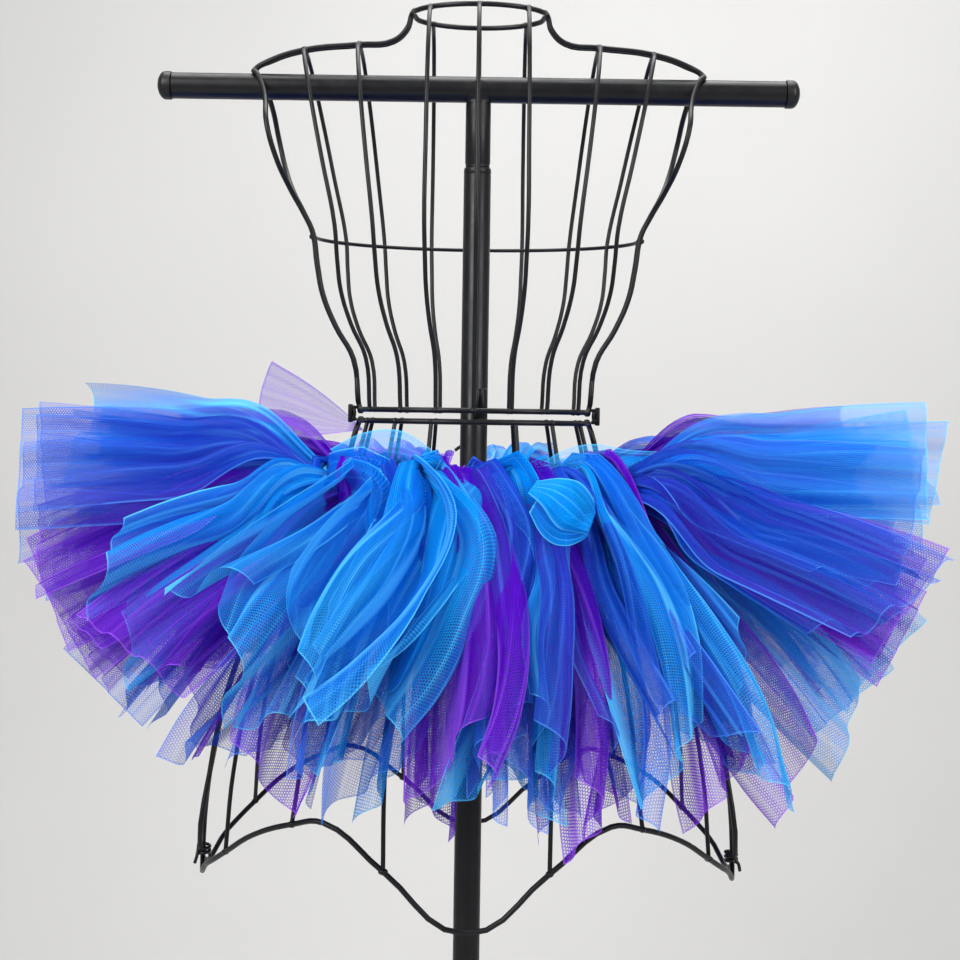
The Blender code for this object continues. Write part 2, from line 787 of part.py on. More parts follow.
def build_curl(name, parts):
    """A soft roll of tulle that stands out from a front knot and turns down over the skirt."""
    bearing, rise, bend, length, width, drift = CURLS[name]
    line = centre_line(rise - bend / 2, bend, length, CURL_SHARES)
    outward, sideways = band_directions(bearing)
    root = seated_root(bearing, CURL_ROOT_Z, line[0][2], STRIP_WALL)

    def point_at(column, row):
        reach, climb, slope = line[row]
        share = CURL_SHARES[row]
        across = 2 * column / CURL_COLUMNS - 1
        # The roll is widest past its middle and closes again towards its end.
        opened = math.sin(math.pi * (0.9 * share) ** 0.8)
        half = width / 2 * (ROOT_WIDTH_SHARE + (1 - ROOT_WIDTH_SHARE) * opened)
        turn = across * math.radians(CURL_HALF_TURN)
        side_shift = half * math.sin(turn) + drift * share
        lift = CURL_ARCH * opened * math.cos(turn)
        normal = Vector((0.0, 0.0, math.cos(slope))) - outward * math.sin(slope)
        return root + outward * reach + Vector((0, 0, climb)) + sideways * side_shift + normal * lift

    def wall_at(row):
        return STRIP_WALL

    rows = len(CURL_SHARES) - 1
    cloth_grid(name, CURL_COLUMNS, rows, point_at, wall_at, "turquoise tulle", parts)


def main():
    clear_scene()
    parts = new_collection("tutu skirt on a wire dress form")
    cutters = new_collection("weld tools")
    cutters.hide_render = True
    build_stand(parts)
    build_form(parts, cutters)
    build_clamps(parts)
    build_band(parts)
    for number in range(STRIP_COUNT):
        build_strip(number, parts)
    build_raised_tail(parts)
    for name in CURLS:
        build_curl(name, parts)


main()
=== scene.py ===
"""Looks of a tied tulle tutu skirt on its wire dress form.

Metres, +Z up, in the part's own frame: the front faces -Y and the origin is on the floor under the pole.
Bearings are degrees from the front, growing towards +X.
"""

import math

import bmesh
import bpy
from mathutils import Matrix, Vector


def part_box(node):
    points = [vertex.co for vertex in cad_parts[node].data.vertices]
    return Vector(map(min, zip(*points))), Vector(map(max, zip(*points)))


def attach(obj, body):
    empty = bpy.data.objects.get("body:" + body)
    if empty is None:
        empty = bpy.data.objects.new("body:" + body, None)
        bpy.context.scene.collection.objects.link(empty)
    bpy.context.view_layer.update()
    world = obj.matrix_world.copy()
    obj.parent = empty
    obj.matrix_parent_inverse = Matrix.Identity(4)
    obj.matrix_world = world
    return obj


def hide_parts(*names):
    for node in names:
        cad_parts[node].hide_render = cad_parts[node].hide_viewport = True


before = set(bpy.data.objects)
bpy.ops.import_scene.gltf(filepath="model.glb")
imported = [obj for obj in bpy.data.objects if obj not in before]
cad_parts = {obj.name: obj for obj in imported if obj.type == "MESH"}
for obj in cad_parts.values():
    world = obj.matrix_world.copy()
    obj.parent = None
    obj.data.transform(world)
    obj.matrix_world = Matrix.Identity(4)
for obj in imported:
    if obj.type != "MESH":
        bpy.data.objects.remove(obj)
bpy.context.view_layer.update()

# The camera stands in front of the form, a little above the waist.
CAMERA_PLACE = (0.007, -1.570, 1.080)
CAMERA_PITCH = -2.37
CAMERA_ROLL = 0.85
CAMERA_LENS = 58.9
SENSOR = 36.0
PICTURE = 960.0

# The stand.
BASE_EDGE = 0.0012
BASE_RADIUS = 0.180
BASE_HEIGHT = 0.005
SOCKET_RADIUS = 0.022
SOCKET_HEIGHT = 0.030
POLE_RADIUS = 0.0135
POLE_SEAM_Z = 1.325
UPPER_POLE_RADIUS = 0.0125
BAR_Z = 1.4015
BAR_RADIUS = 0.0127
BAR_LENGTH = 0.607
CAP_RADIUS = 0.0138
CAP_LENGTH = 0.014
TOUCH = 0.0003
HOOK_WALL = 0.0042
HOOK_LIP = 0.0034
BOLT_RADIUS = 0.0030
HOOK_ROD = 0.0015
TWIST_WIRE = 0.0017
TWIST_TURN = (0.0056, 0.0062)
TWIST_HEIGHT = 0.0105
CLIP_FINGER = 0.0022
PIN_RADIUS = 0.0016
# Two heights closer than this are one height.
LEVEL = 1e-6

# The wire form.
OUTLINE_WIRE = 0.0026
RIB_WIRE = 0.0021
BUST_WIRE = 0.0019
BUST_WIRE_INSET = 0.0012
BUST_WIRE_DROP = 0.0040
HALF_GAP = 0.0031
NECK_Z = 1.4737
NECK_HALF_WIDTH = 0.067
NECK_HALF_DEPTH = 0.048
BUST_Z = 1.259
WAIST_TOP_Z = 1.084
WAIST_LOW_Z = 1.073
HEM_HALF_WIDTH = 0.267
HEM_HALF_DEPTH = 0.190
CHEST_ROUND = 3.0
CHEST_SHARES = (1.0, 0.96, 0.86, 0.66, 0.34)
RIB_FOOT = 0.02

# Height, half width, front depth, back depth of the form from the bust to the waist.
BODICE_LEVELS = (
    (1.259, 0.163, 0.120, 0.113),
    (1.227, 0.158, 0.114, 0.108),
    (1.197, 0.152, 0.106, 0.101),
    (1.166, 0.139, 0.098, 0.093),
    (1.134, 0.121, 0.090, 0.087),
    (1.084, 0.114, 0.085, 0.085),
)

# Height, half width, half depth of the form from the waist to the hem.
HIP_LEVELS = (
    (1.073, 0.114, 0.085),
    (1.022, 0.129, 0.097),
    (0.998, 0.139, 0.105),
    (0.950, 0.172, 0.129),
    (0.900, 0.203, 0.149),
    (0.830, 0.234, 0.168),
    (0.740, 0.257, 0.182),
    (0.6275, 0.267, 0.190),
)

# Side place, height of the shoulder wire from the neck ring to the shoulder tip.
SHOULDER_LINE = (
    (0.0710, 1.4610),
    (0.0850, 1.4480),
    (0.1180, 1.4440),
    (0.1720, 1.4380),
    (0.2050, 1.4275),
    (0.2220, 1.4171),
)

# Turn round the cross bar in degrees, side place, where the wire bends down over the bar's end.
SHOULDER_TURN = (
    (45.0, 0.2185),
    (78.0, 0.2140),
)

# Side place, depth, height of the armhole wire below the cross bar.
ARMHOLE_LINE = (
    (0.2080, 0.0260, 1.3870),
    (0.2030, 0.0480, 1.3560),
    (0.1950, 0.0400, 1.3260),
    (0.1840, 0.0180, 1.3000),
    (0.1720, 0.0060, 1.2780),
)

# Side place, height of the hem wire from the side to the middle.
HEM_LINE = (
    (0.267, 0.6275),
    (0.252, 0.6420),
    (0.229, 0.6630),
    (0.198, 0.6880),
    (0.160, 0.7045),
    (0.130, 0.7100),
    (0.0745, 0.6710),
    (0.000, 0.6185),
)

# Side place of each bodice rib at its top, at the bust and at the waist.
BODICE_RIBS = (
    (-0.172, -0.135, -0.1015),
    (-0.118, -0.097, -0.0700),
    (-0.047, -0.048, -0.0360),
    (0.000, 0.000, 0.0000),
    (0.047, 0.048, 0.0360),
    (0.118, 0.097, 0.0700),
    (0.172, 0.135, 0.1015),
)

# Side place of each hip rib at the waist and at the hem.
HIP_RIBS = (
    (-0.1035, -0.229),
    (-0.0750, -0.160),
    (-0.0400, -0.0745),
    (0.0400, 0.0745),
    (0.0750, 0.160),
    (0.1035, 0.229),
)

# Side places of the points of each half ring, from its end to the middle.
NECK_PLACES = (0.061, 0.047, 0.026, 0.000)
BUST_PLACES = (0.156, 0.135, 0.097, 0.048, 0.000)
WAIST_TOP_PLACES = (0.1115, 0.1015, 0.0700, 0.0360, 0.000)
WAIST_LOW_PLACES = (0.1115, 0.1035, 0.0750, 0.0400, 0.000)

# The waistband and the strips tied on it.
BAND_TOP_Z = 1.022
BAND_LOW_Z = 0.998
BAND_WALL = 0.002
BAND_CLEAR = 0.0035
RIBBON_WALL = 0.0014
BAND_SIDES = 288
BAND_LEVELS = 6
ROOT_Z = 1.010
ROOT_OUT = 0.0045
STRIP_COUNT = 39
TIERS = 3
FIRST_BEARING = 3.0
CUT_WIDTH = 0.150

# Bearing, rise of the top, middle and low tier in degrees, length of the tails.
LIFT = (
    (0.0, -30.0, -43.0, -53.5, 0.322),
    (45.0, -7.0, -24.0, -41.0, 0.314),
    (90.0, 16.0, -9.0, -32.0, 0.308),
    (135.0, 8.0, -14.0, -36.0, 0.318),
    (180.0, 1.0, -20.0, -42.0, 0.320),
    (225.0, 8.0, -14.0, -36.0, 0.312),
    (270.0, 15.0, -10.0, -33.0, 0.290),
    (315.0, -8.0, -24.0, -40.0, 0.300),
)
TIER_BEND = (9.0, 14.0, 18.0)

# Shape of one tail. Shares run along its length from the knot.
TAIL_COLUMNS = 56
TAIL_ROWS = 36
END_COLUMNS = 32
END_ROWS = 36
KNOT_SPREAD = 0.010
SIDE_SPREAD = 0.132
FRONT_SPREAD = 0.100
OPENING = 3.2
SIDE_ROLL = 34.0
TAIL_SIDE = 5.4
UNDER_SIDE = 2.0
TAIL_STEP = 2.6
SHOULDER_RISE = 0.015
SHOULDER_OUT = 0.023
FOLDS = 2.7
FLATNESS = 2.0
FOLD_DEPTH = 0.0125
KNOT_FOLD_DEPTH = 0.0060
KNOT_TURN = 0.9
FINE_DEPTH = 0.8
BACK_FINE_DEPTH = 0.3
BACK_ARCH = 0.55
FRONT_TWIST = 22.0
SIDE_TWIST = 12.0
TIER_ARCH = (0.020, 0.010, 0.0)
TIER_DROP = (0.85, 0.35, -0.1)

# The narrow under tails in front, and the tails that follow a path.
UNDER_FOLDS = 1.5
UNDER_SPREAD = 0.058
UNDER_DEPTH = 0.018
UNDER_POINT = 0.40
UNDER_LENGTH = 0.90
UNDER_DROP = 4.0
UNDER_FRONT_DROP = 3.0
UNDER_STEEPER = 8.0
PATH_FOLDS = 1.15
PATH_FINE_DEPTH = 0.5
PATH_DEPTH = 0.024
PATH_POINT = 0.42
POINTED_WIDTH = 0.045

# Largest uneven part of each size of a tail, and the seed that it comes from.
UNEVEN = {
    "rise": (1.6, 1.0),
    "bend": (6.0, 2.0),
    "length": (0.045, 3.0),
    "spread": (0.10, 4.0),
    "under spread": (0.15, 4.0),
    "folds": (0.8, 5.0),
    "under folds": (0.4, 5.0),
    "path folds": (0.35, 5.0),
    "flat": (0.9, 6.0),
    "tip": (1.5, 7.0),
    "depth": (0.003, 8.0),
    "roll": (13.0, 9.0),
    "path roll": (14.0, 9.0),
    "slant": (0.22, 10.0),
    "point": (0.25, 10.0),
    "path twist": (30.0, 11.0),
    "crest": (0.4, 12.0),
}

# How the net swings into folds between a tail's side edges.
FINE_FOLDS = 6.4
MOST_SWING = 2.6
SWING_STEPS = 11
MOST_LAYERS = 9.0

# The knots.
KNOT_SIDES = 20
KNOT_ROWS = 30
KNOT_RING = 3.0
KNOT_LAYERS = 6.0
KNOT_OVER = 0.0022

# Width of one hole of the net, and of the cut edge's line from where it starts to its middle.
NET_CELL = 0.0021
CUT_LINE = (0.0021, 0.0006)

TULLE_NAMES = {"t": "turquoise tulle", "r": "royal blue tulle", "v": "violet tulle"}
# The colour letter of each strip, from the front round over +X.
STRIP_COLOURS = "rtvrtvrvttrvvrtrtvtrrvtrvtrtrvrvrtvrttv"
# The loose ends that curl over in front of the knots and stand up behind them: name, the solid they stand
# for, finish, rows of left, middle and right points of the front view with depths, cut, layers.
CURLS = (
    (
        "bell_curl_left",
        ("front_curl_left",),
        "turquoise tulle",
        (
            ((488, 481, -0.118), (491, 485, -0.121), (495, 482, -0.118)),
            ((464, 473, -0.135), (476, 484, -0.152), (497, 484, -0.14)),
            ((434, 488, -0.15), (462, 500, -0.188), (497, 505, -0.15)),
            ((414, 530, -0.17), (452, 538, -0.212), (490, 535, -0.165)),
            ((408, 590, -0.205), (438, 590, -0.256), (466, 580, -0.205)),
            ((402, 640, -0.24), (420, 640, -0.284), (442, 626, -0.24)),
            ((384, 694, -0.27), (398, 686, -0.3), (414, 660, -0.27)),
        ),
        (0.105, 0.22),
        1.15,
    ),
    (
        "round_curl_right",
        ("front_curl_right",),
        "turquoise tulle",
        (
            ((528, 493, -0.17), (532, 487, -0.16), (537, 481, -0.148)),
            ((541, 505, -0.204), (550, 491, -0.198), (560, 478, -0.166)),
            ((551, 520, -0.224), (565, 500, -0.22), (580, 482, -0.172)),
            ((560, 529, -0.232), (577, 511, -0.226), (592, 496, -0.174)),
            ((574, 532, -0.228), (586, 520, -0.22), (597, 508, -0.172)),
            ((587, 535, -0.224), (592, 524, -0.214), (595, 512, -0.172)),
            ((581, 541, -0.222), (584, 528, -0.208), (587, 514, -0.17)),
            ((568, 546, -0.222), (572, 530, -0.206), (575, 514, -0.168)),
            ((553, 544, -0.22), (560, 528, -0.204), (566, 511, -0.166)),
            ((540, 533, -0.212), (547, 518, -0.196), (553, 503, -0.164)),
            ((529, 512, -0.192), (535, 502, -0.176), (541, 491, -0.154)),
        ),
        (0.062, 0.17),
        1.3,
    ),
    (
        "raised_end",
        ("raised_tail",),
        "violet tulle",
        (
            ((361, 427, 0.05), (362, 428, 0.052), (363, 430, 0.05)),
            ((338, 406, 0.072), (333, 419, 0.078), (329, 434, 0.068)),
            ((308, 383, 0.095), (298, 407, 0.104), (292, 438, 0.09)),
            ((272, 361, 0.118), (260, 396, 0.128), (256, 442, 0.112)),
        ),
        (0.085, 0.1),
        0.55,
    ),
    (
        "standing_loop_left",
        (),
        "turquoise tulle",
        (
            ((350, 470, -0.085), (340, 460, -0.09), (330, 449, -0.085)),
            ((374, 476, -0.095), (369, 454, -0.108), (362, 433, -0.096)),
            ((400, 482, -0.105), (400, 456, -0.12), (398, 430, -0.106)),
            ((426, 487, -0.11), (427, 466, -0.124), (427, 446, -0.112)),
            ((442, 489, -0.112), (444, 479, -0.122), (446, 466, -0.114)),
        ),
        (0.055, 0.11),
        0.75,
    ),
    (
        "standing_loop_right",
        (),
        "turquoise tulle",
        (
            ((530, 485, -0.112), (531, 478, -0.118), (533, 470, -0.112)),
            ((556, 486, -0.106), (557, 468, -0.116), (560, 452, -0.106)),
            ((588, 486, -0.092), (590, 464, -0.104), (592, 444, -0.092)),
            ((622, 484, -0.07), (626, 464, -0.078), (630, 450, -0.07)),
            ((650, 478, -0.04), (660, 464, -0.046), (668, 452, -0.04)),
        ),
        (0.05, 0.14),
        0.55,
    ),
)

# The middle lines of the front tails, by strip number and side, from the knot to the cut end:
# side place and height in the front view in picture points, depth and width in millimetres.
TAIL_PATHS = {
    (0, 0): ((500, 530, -170, 30), (508, 590, -215, 34), (514, 650, -250, 40), (512, 738, -290, 36)),
    (0, 1): ((514, 530, -165, 36), (520, 600, -220, 40), (524, 680, -262, 48), (522, 772, -310, 40)),
    (1, 0): ((541, 545, -158, 26), (547, 600, -216, 17), (541, 660, -262, 32), (540, 748, -310, 17)),
    (1, 1): ((535, 560, -170, 43), (530, 640, -220, 65), (515, 720, -270, 72), (484, 795, -300, 51)),
    (2, 0): ((562, 570, -190, 32), (575, 640, -235, 43), (580, 700, -270, 43), (575, 790, -300, 29)),
    (2, 1): ((590, 620, -190, 58), (600, 700, -240, 72), (604, 760, -270, 72), (600, 818, -290, 51)),
    (3, 0): ((558, 560, -190, 35), (563, 620, -250, 38), (560, 690, -290, 43), (548, 762, -330, 29)),
    (3, 1): ((600, 560, -190, 58), (612, 640, -240, 72), (622, 710, -280, 72), (628, 778, -310, 43)),
    (4, 0): ((600, 530, -170, 65), (632, 600, -225, 90), (655, 670, -270, 80), (674, 765, -300, 51)),
    (4, 1): ((640, 560, -170, 43), (690, 630, -220, 46), (730, 700, -260, 52), (757, 775, -280, 36)),
    (5, 0): ((640, 570, -160, 43), (680, 640, -200, 58), (705, 720, -240, 72), (716, 790, -260, 58)),
    (5, 1): ((670, 590, -150, 60), (720, 670, -190, 85), (765, 735, -210, 85), (795, 782, -225, 70)),
    (8, 0): ((650, 540, -80, 60), (730, 610, -120, 90), (795, 675, -145, 90), (845, 730, -160, 80)),
    (32, 1): ((350, 570, -140, 60), (290, 650, -190, 80), (240, 710, -220, 85), (200, 754, -235, 70)),
    (33, 0): ((365, 478, -120, 43), (310, 520, -190, 48), (255, 560, -250, 48), (203, 598, -285, 35)),
    (33, 1): ((360, 500, -150, 72), (310, 560, -220, 90), (262, 615, -280, 90), (225, 662, -310, 65)),
    (34, 1): ((370, 560, -170, 60), (320, 650, -230, 80), (285, 720, -260, 85), (262, 780, -280, 70)),
    (35, 0): ((392, 580, -200, 72), (362, 660, -250, 87), (340, 720, -270, 87), (322, 768, -285, 72)),
    (35, 1): ((415, 600, -200, 72), (395, 680, -250, 87), (380, 740, -275, 80), (366, 795, -290, 58)),
    (36, 0): ((395, 500, -170, 58), (345, 555, -250, 58), (308, 610, -310, 55), (288, 652, -335, 43)),
    (36, 1): ((415, 520, -200, 72), (385, 585, -270, 72), (350, 640, -330, 65), (318, 684, -350, 43)),
    (37, 0): ((420, 540, -200, 87), (395, 600, -250, 87), (372, 650, -285, 72), (346, 700, -300, 43)),
    (37, 1): ((448, 545, -200, 87), (428, 610, -250, 80), (408, 660, -280, 65), (386, 702, -300, 43)),
    (38, 0): ((466, 560, -200, 60), (466, 640, -262, 74), (458, 700, -300, 70), (448, 752, -325, 45)),
    (38, 1): ((486, 560, -198, 50), (488, 640, -268, 62), (482, 700, -306, 56), (472, 744, -330, 38)),
}

# Body colour, colour it shades into, colour painted on the folds, creases and edges as their highlight and
# on a thin ply as the light it lets through, share of light one layer stops.
TULLE = {
    "turquoise tulle": ((0.001, 0.290, 0.860), (0.004, 0.130, 0.720), (0.150, 0.720, 1.000), 0.42),
    "royal blue tulle": ((0.006, 0.062, 0.560), (0.050, 0.018, 0.460), (0.090, 0.330, 0.920), 0.36),
    "violet tulle": ((0.110, 0.001, 0.500), (0.045, 0.004, 0.440), (0.420, 0.130, 0.920), 0.45),
}
# A mask starts at its first number and ends at its second, with the shares that follow.
# The fold and cut lines and the creases are painted highlights in the lit colour; a thin ply is painted in
# it as the light it lets through.
FOLD_LINE = (0.80, 0.985)
FOLD_LINE_SHARE = 0.75
EDGE_HIGHLIGHT_AND_COVER = 0.66
LIT_CREASES = (0.60, 0.92, 0.0, 0.34)
THIN_PLY_PAINTED_LIGHT = (1.3, 0.4, 0.0, 0.24)
PATCHY_COVER = (0.0, 1.0, 0.84, 1.18)
THREAD_COVER = (1.24, 0.26)
EDGE_THROUGH = (-0.6, 1.0)
STACK_COVER = 1.12
CLOTH_VALUES = {
    "Roughness": 0.62,
    "Specular IOR Level": 0.0,
    "Sheen Weight": 0.16,
    "Sheen Roughness": 0.4,
}

# Colour, roughness and grain of the black coats, and the colour of the dust on them.
COATS = {
    "black steel": ((0.0035, 0.0035, 0.0045, 1.0), 0.34, 900.0),
    "black plastic": ((0.006, 0.006, 0.0065, 1.0), 0.38, 500.0),
}
DUST = (0.022, 0.021, 0.02, 1.0)
DUST_MASK = (0.52, 0.80, 0.0, 0.35)
RUBBED_MASK = (0.30, 0.75, -0.05, 0.12)
COAT_SHINE = 0.36

# The ribbon's colours, painted as shade in its hollows and as a highlight on its ridges, and the width of
# one ridge.
RIBBON_SHADE_AND_HIGHLIGHT = ((0.008, 0.006, 0.05, 1.0), (0.03, 0.02, 0.13, 1.0))
RIDGE = 0.0014

# Radius of the sweep's bend, depth of its wall, its height, half its width, and where it starts.
SWEEP = (0.8, 1.9, 3.2, 4.0, -4.0)
PAPER = (0.66, 0.65, 0.63)
PAPER_ROUGH = 0.85

# Name, place, aim, size and power of each light.
LIGHTS = (
    ("soft box left", (-1.5, -1.9, 2.3), (0.0, 0.0, 0.95), (1.2, 1.6), 50.0),
    ("soft box right", (1.7, -1.6, 1.9), (0.0, 0.0, 0.95), (0.9, 1.4), 27.0),
    ("top light", (0.0, 0.2, 2.7), (0.0, 0.0, 0.9), (1.6, 1.2), 28.0),
    ("wall light", (0.6, 0.6, 2.6), (0.3, 1.9, 1.2), (1.8, 0.5), 12.0),
)
ROOM_COLOUR = (0.92, 0.95, 1.0, 1.0)
ROOM_STRENGTH = 0.42


class Graph:
    """Adds nodes to one node tree. A value is a number, a colour or another node's output."""

    def __init__(self, tree):
        self.tree = tree

    def feed(self, socket, value):
        if isinstance(value, bpy.types.NodeSocket):
            self.tree.links.new(value, socket)
        else:
            socket.default_value = value

    def node(self, kind, values=None, **settings):
        made = self.tree.nodes.new(kind)
        for name, value in settings.items():
            setattr(made, name, value)
        for name, value in (values or {}).items():
            self.feed(made.inputs[name], value)
        return made

    def math(self, operation, *values):
        made = self.node("ShaderNodeMath", operation=operation)
        for socket, value in zip(made.inputs, values):
            self.feed(socket, value)
        return made.outputs[0]

    def ramp(self, value, low, high, first=0.0, last=1.0):
        """A smooth step from first to last as the value goes from low to high."""
        values = {"Value": value, "From Min": low, "From Max": high, "To Min": first, "To Max": last}
        return self.node("ShaderNodeMapRange", values, interpolation_type="SMOOTHSTEP").outputs[0]

    def mix(self, share, first, second):
        made = self.node("ShaderNodeMix", data_type="RGBA")
        self.feed(made.inputs["Factor"], share)
        self.feed(made.inputs[6], first)
        self.feed(made.inputs[7], second)
        return made.outputs[2]


def new_group(name, inputs, outputs):
    """A shader node group with its sockets, and its input and output nodes."""
    tree = bpy.data.node_groups.new(name, "ShaderNodeTree")
    for label, kind in inputs:
        tree.interface.new_socket(label, in_out="INPUT", socket_type=kind)
    for label, kind in outputs:
        tree.interface.new_socket(label, in_out="OUTPUT", socket_type=kind)
    graph = Graph(tree)
    return graph, graph.node("NodeGroupInput"), graph.node("NodeGroupOutput")


def build_net_group():
    """The hexagonal net of tulle, as a mask of its threads from lengths across and along the cut."""
    graph, start, end = new_group(
        "tulle net", (("Place", "NodeSocketVector"),), (("Thread", "NodeSocketFloat"),)
    )
    waves = []
    for degrees in (0.0, 60.0, 120.0):
        turn = math.radians(degrees)
        way = graph.node("ShaderNodeVectorMath", {0: start.outputs["Place"]}, operation="DOT_PRODUCT")
        wave = 2 * math.pi / NET_CELL
        way.inputs[1].default_value = (math.cos(turn) * wave, math.sin(turn) * wave, 0.0)
        waves.append(graph.math("COSINE", way.outputs["Value"]))
    total = graph.math("ADD", graph.math("ADD", waves[0], waves[1]), waves[2])
    graph.feed(end.inputs["Thread"], graph.ramp(total, 1.5, -0.5))
    return graph.tree


def build_tulle_group(net):
    """Colour, cover and creases of a strip of tulle, from its cut's lengths and its folds, with painted
    highlights on its folds, creases and cut edges and painted light through a thin ply.
    """
    graph, start, end = new_group(
        "gathered tulle",
        (
            ("Body", "NodeSocketColor"),
            ("Shade", "NodeSocketColor"),
            ("Lit", "NodeSocketColor"),
            ("Layer", "NodeSocketFloat"),
            ("Line", "NodeSocketFloat"),
        ),
        (("Colour", "NodeSocketColor"), ("Alpha", "NodeSocketFloat")),
    )
    cut = graph.node("ShaderNodeUVMap", uv_map="cut")
    lengths = graph.node("ShaderNodeSeparateXYZ", {"Vector": cut.outputs["UV"]})
    across, from_tip = lengths.outputs["X"], lengths.outputs["Y"]
    on_edge = graph.node("ShaderNodeAttribute", attribute_name="on_edge").outputs["Fac"]
    layers = graph.node("ShaderNodeAttribute", attribute_name="layers").outputs["Fac"]

    # Folds standing on edge and the cut edges get a painted highlight, and they also cover more.
    fold_line = graph.math("MULTIPLY", graph.ramp(on_edge, *FOLD_LINE), FOLD_LINE_SHARE)
    side = graph.math("MINIMUM", across, graph.math("SUBTRACT", CUT_WIDTH, across))
    cut_edge = graph.ramp(graph.math("MINIMUM", side, from_tip), *CUT_LINE)
    edge = graph.math("MULTIPLY", graph.math("MAXIMUM", fold_line, cut_edge), start.outputs["Line"])

    thread = placed_group(graph, net, {"Place": cut.outputs["UV"]}).outputs["Thread"]
    creases = graph.node("ShaderNodeAttribute", attribute_name="creases").outputs["Fac"]

    tint = graph.node("ShaderNodeAttribute", attribute_name="tint").outputs["Fac"]
    body = graph.mix(tint, start.outputs["Body"], start.outputs["Shade"])
    # Painted highlights on the fine creases.
    body = graph.mix(graph.ramp(creases, *LIT_CREASES), body, start.outputs["Lit"])
    # A single ply is painted paler than a stack as the light it lets through, and the edges get their
    # painted highlight.
    line = graph.math("MAXIMUM", edge, graph.ramp(layers, *THIN_PLY_PAINTED_LIGHT))
    graph.feed(end.inputs["Colour"], graph.mix(line, body, start.outputs["Lit"]))

    net_cover = graph.math("MULTIPLY_ADD", thread, *THREAD_COVER)
    woven = graph.math("MULTIPLY", start.outputs["Layer"], net_cover)
    patchy = graph.math("MULTIPLY", woven, graph.ramp(creases, *PATCHY_COVER))
    through = graph.math("POWER", graph.math("SUBTRACT", 1.0, patchy), layers)
    unlined = graph.math("MULTIPLY", through, graph.math("MULTIPLY_ADD", edge, *EDGE_THROUGH))
    # A dense stack stops all light.
    cover = graph.math("MULTIPLY", graph.math("SUBTRACT", 1.0, unlined), STACK_COVER)
    cover.node.use_clamp = True
    graph.feed(end.inputs["Alpha"], cover)
    return graph.tree


def build_coat_group():
    """Fine orange peel, faint dust and rubbed spots of a black coat."""
    graph, start, end = new_group(
        "worn coat",
        (
            ("Body", "NodeSocketColor"),
            ("Dust", "NodeSocketColor"),
            ("Grain", "NodeSocketFloat"),
            ("Gloss", "NodeSocketFloat"),
        ),
        (("Colour", "NodeSocketColor"), ("Roughness", "NodeSocketFloat"), ("Height", "NodeSocketFloat")),
    )
    place = graph.node("ShaderNodeTexCoord").outputs["Object"]
    peel = graph.node(
        "ShaderNodeTexNoise", {"Vector": place, "Scale": start.outputs["Grain"], "Detail": 2.0}
    ).outputs["Fac"]
    smears = graph.node(
        "ShaderNodeTexNoise", {"Vector": place, "Scale": 38.0, "Detail": 5.0, "Roughness": 0.65}
    ).outputs["Fac"]
    dust = graph.ramp(smears, *DUST_MASK)
    graph.feed(end.inputs["Colour"], graph.mix(dust, start.outputs["Body"], start.outputs["Dust"]))
    rubbed = graph.ramp(smears, *RUBBED_MASK)
    graph.feed(end.inputs["Roughness"], graph.math("ADD", start.outputs["Gloss"], rubbed))
    graph.feed(end.inputs["Height"], peel)
    return graph.tree


def new_material(name):
    """A material with its Principled shader and a graph to add nodes to."""
    made = bpy.data.materials.new(name)
    made.use_nodes = True
    return made, Graph(made.node_tree), made.node_tree.nodes["Principled BSDF"]


def placed_group(graph, tree, values):
    made = graph.node("ShaderNodeGroup")
    made.node_tree = tree
    for name, value in values.items():
        graph.feed(made.inputs[name], value)
    return made


def bump(graph, height, strength, distance):
    return graph.node(
        "ShaderNodeBump", {"Height": height, "Strength": strength, "Distance": distance}
    ).outputs["Normal"]


def build_materials():
    """All finishes by name."""
    finishes = {}
    net = build_net_group()
    tulle = build_tulle_group(net)
    coat = build_coat_group()
    for name, (body, shade, lit, layer) in TULLE.items():
        made, graph, shader = new_material(name)
        cloth = placed_group(
            graph,
            tulle,
            {
                "Body": (*body, 1.0),
                "Shade": (*shade, 1.0),
                "Lit": (*lit, 1.0),
                "Layer": layer,
                "Line": EDGE_HIGHLIGHT_AND_COVER,
            },
        )
        graph.feed(shader.inputs["Base Color"], cloth.outputs["Colour"])
        graph.feed(shader.inputs["Alpha"], cloth.outputs["Alpha"])
        for label, value in CLOTH_VALUES.items():
            shader.inputs[label].default_value = value
        shader.inputs["Sheen Tint"].default_value = (*lit, 1.0)
        finishes[name] = made
    for name, (body, gloss, grain) in COATS.items():
        made, graph, shader = new_material(name)
        skin = placed_group(graph, coat, {"Body": body, "Dust": DUST, "Grain": grain, "Gloss": gloss})
        graph.feed(shader.inputs["Base Color"], skin.outputs["Colour"])
        graph.feed(shader.inputs["Roughness"], skin.outputs["Roughness"])
        graph.feed(shader.inputs["Normal"], bump(graph, skin.outputs["Height"], 0.12, 0.0004))
        shader.inputs["Specular IOR Level"].default_value = COAT_SHINE
        finishes[name] = made
    made, graph, shader = new_material("navy ribbon")
    cut = graph.node("ShaderNodeUVMap", uv_map="cut")
    lengths = graph.node("ShaderNodeSeparateXYZ", {"Vector": cut.outputs["UV"]})
    ridge = graph.math("SINE", graph.math("MULTIPLY", lengths.outputs["X"], 2 * math.pi / RIDGE))
    # The hollows are painted darker as shade and the ridges paler as their highlight.
    graph.feed(shader.inputs["Base Color"], graph.mix(graph.ramp(ridge, -1.0, 1.0), *RIBBON_SHADE_AND_HIGHLIGHT))
    graph.feed(shader.inputs["Normal"], bump(graph, ridge, 0.5, 0.0004))
    shader.inputs["Roughness"].default_value = 0.38
    shader.inputs["Sheen Weight"].default_value = 0.3
    finishes["navy ribbon"] = made
    return finishes


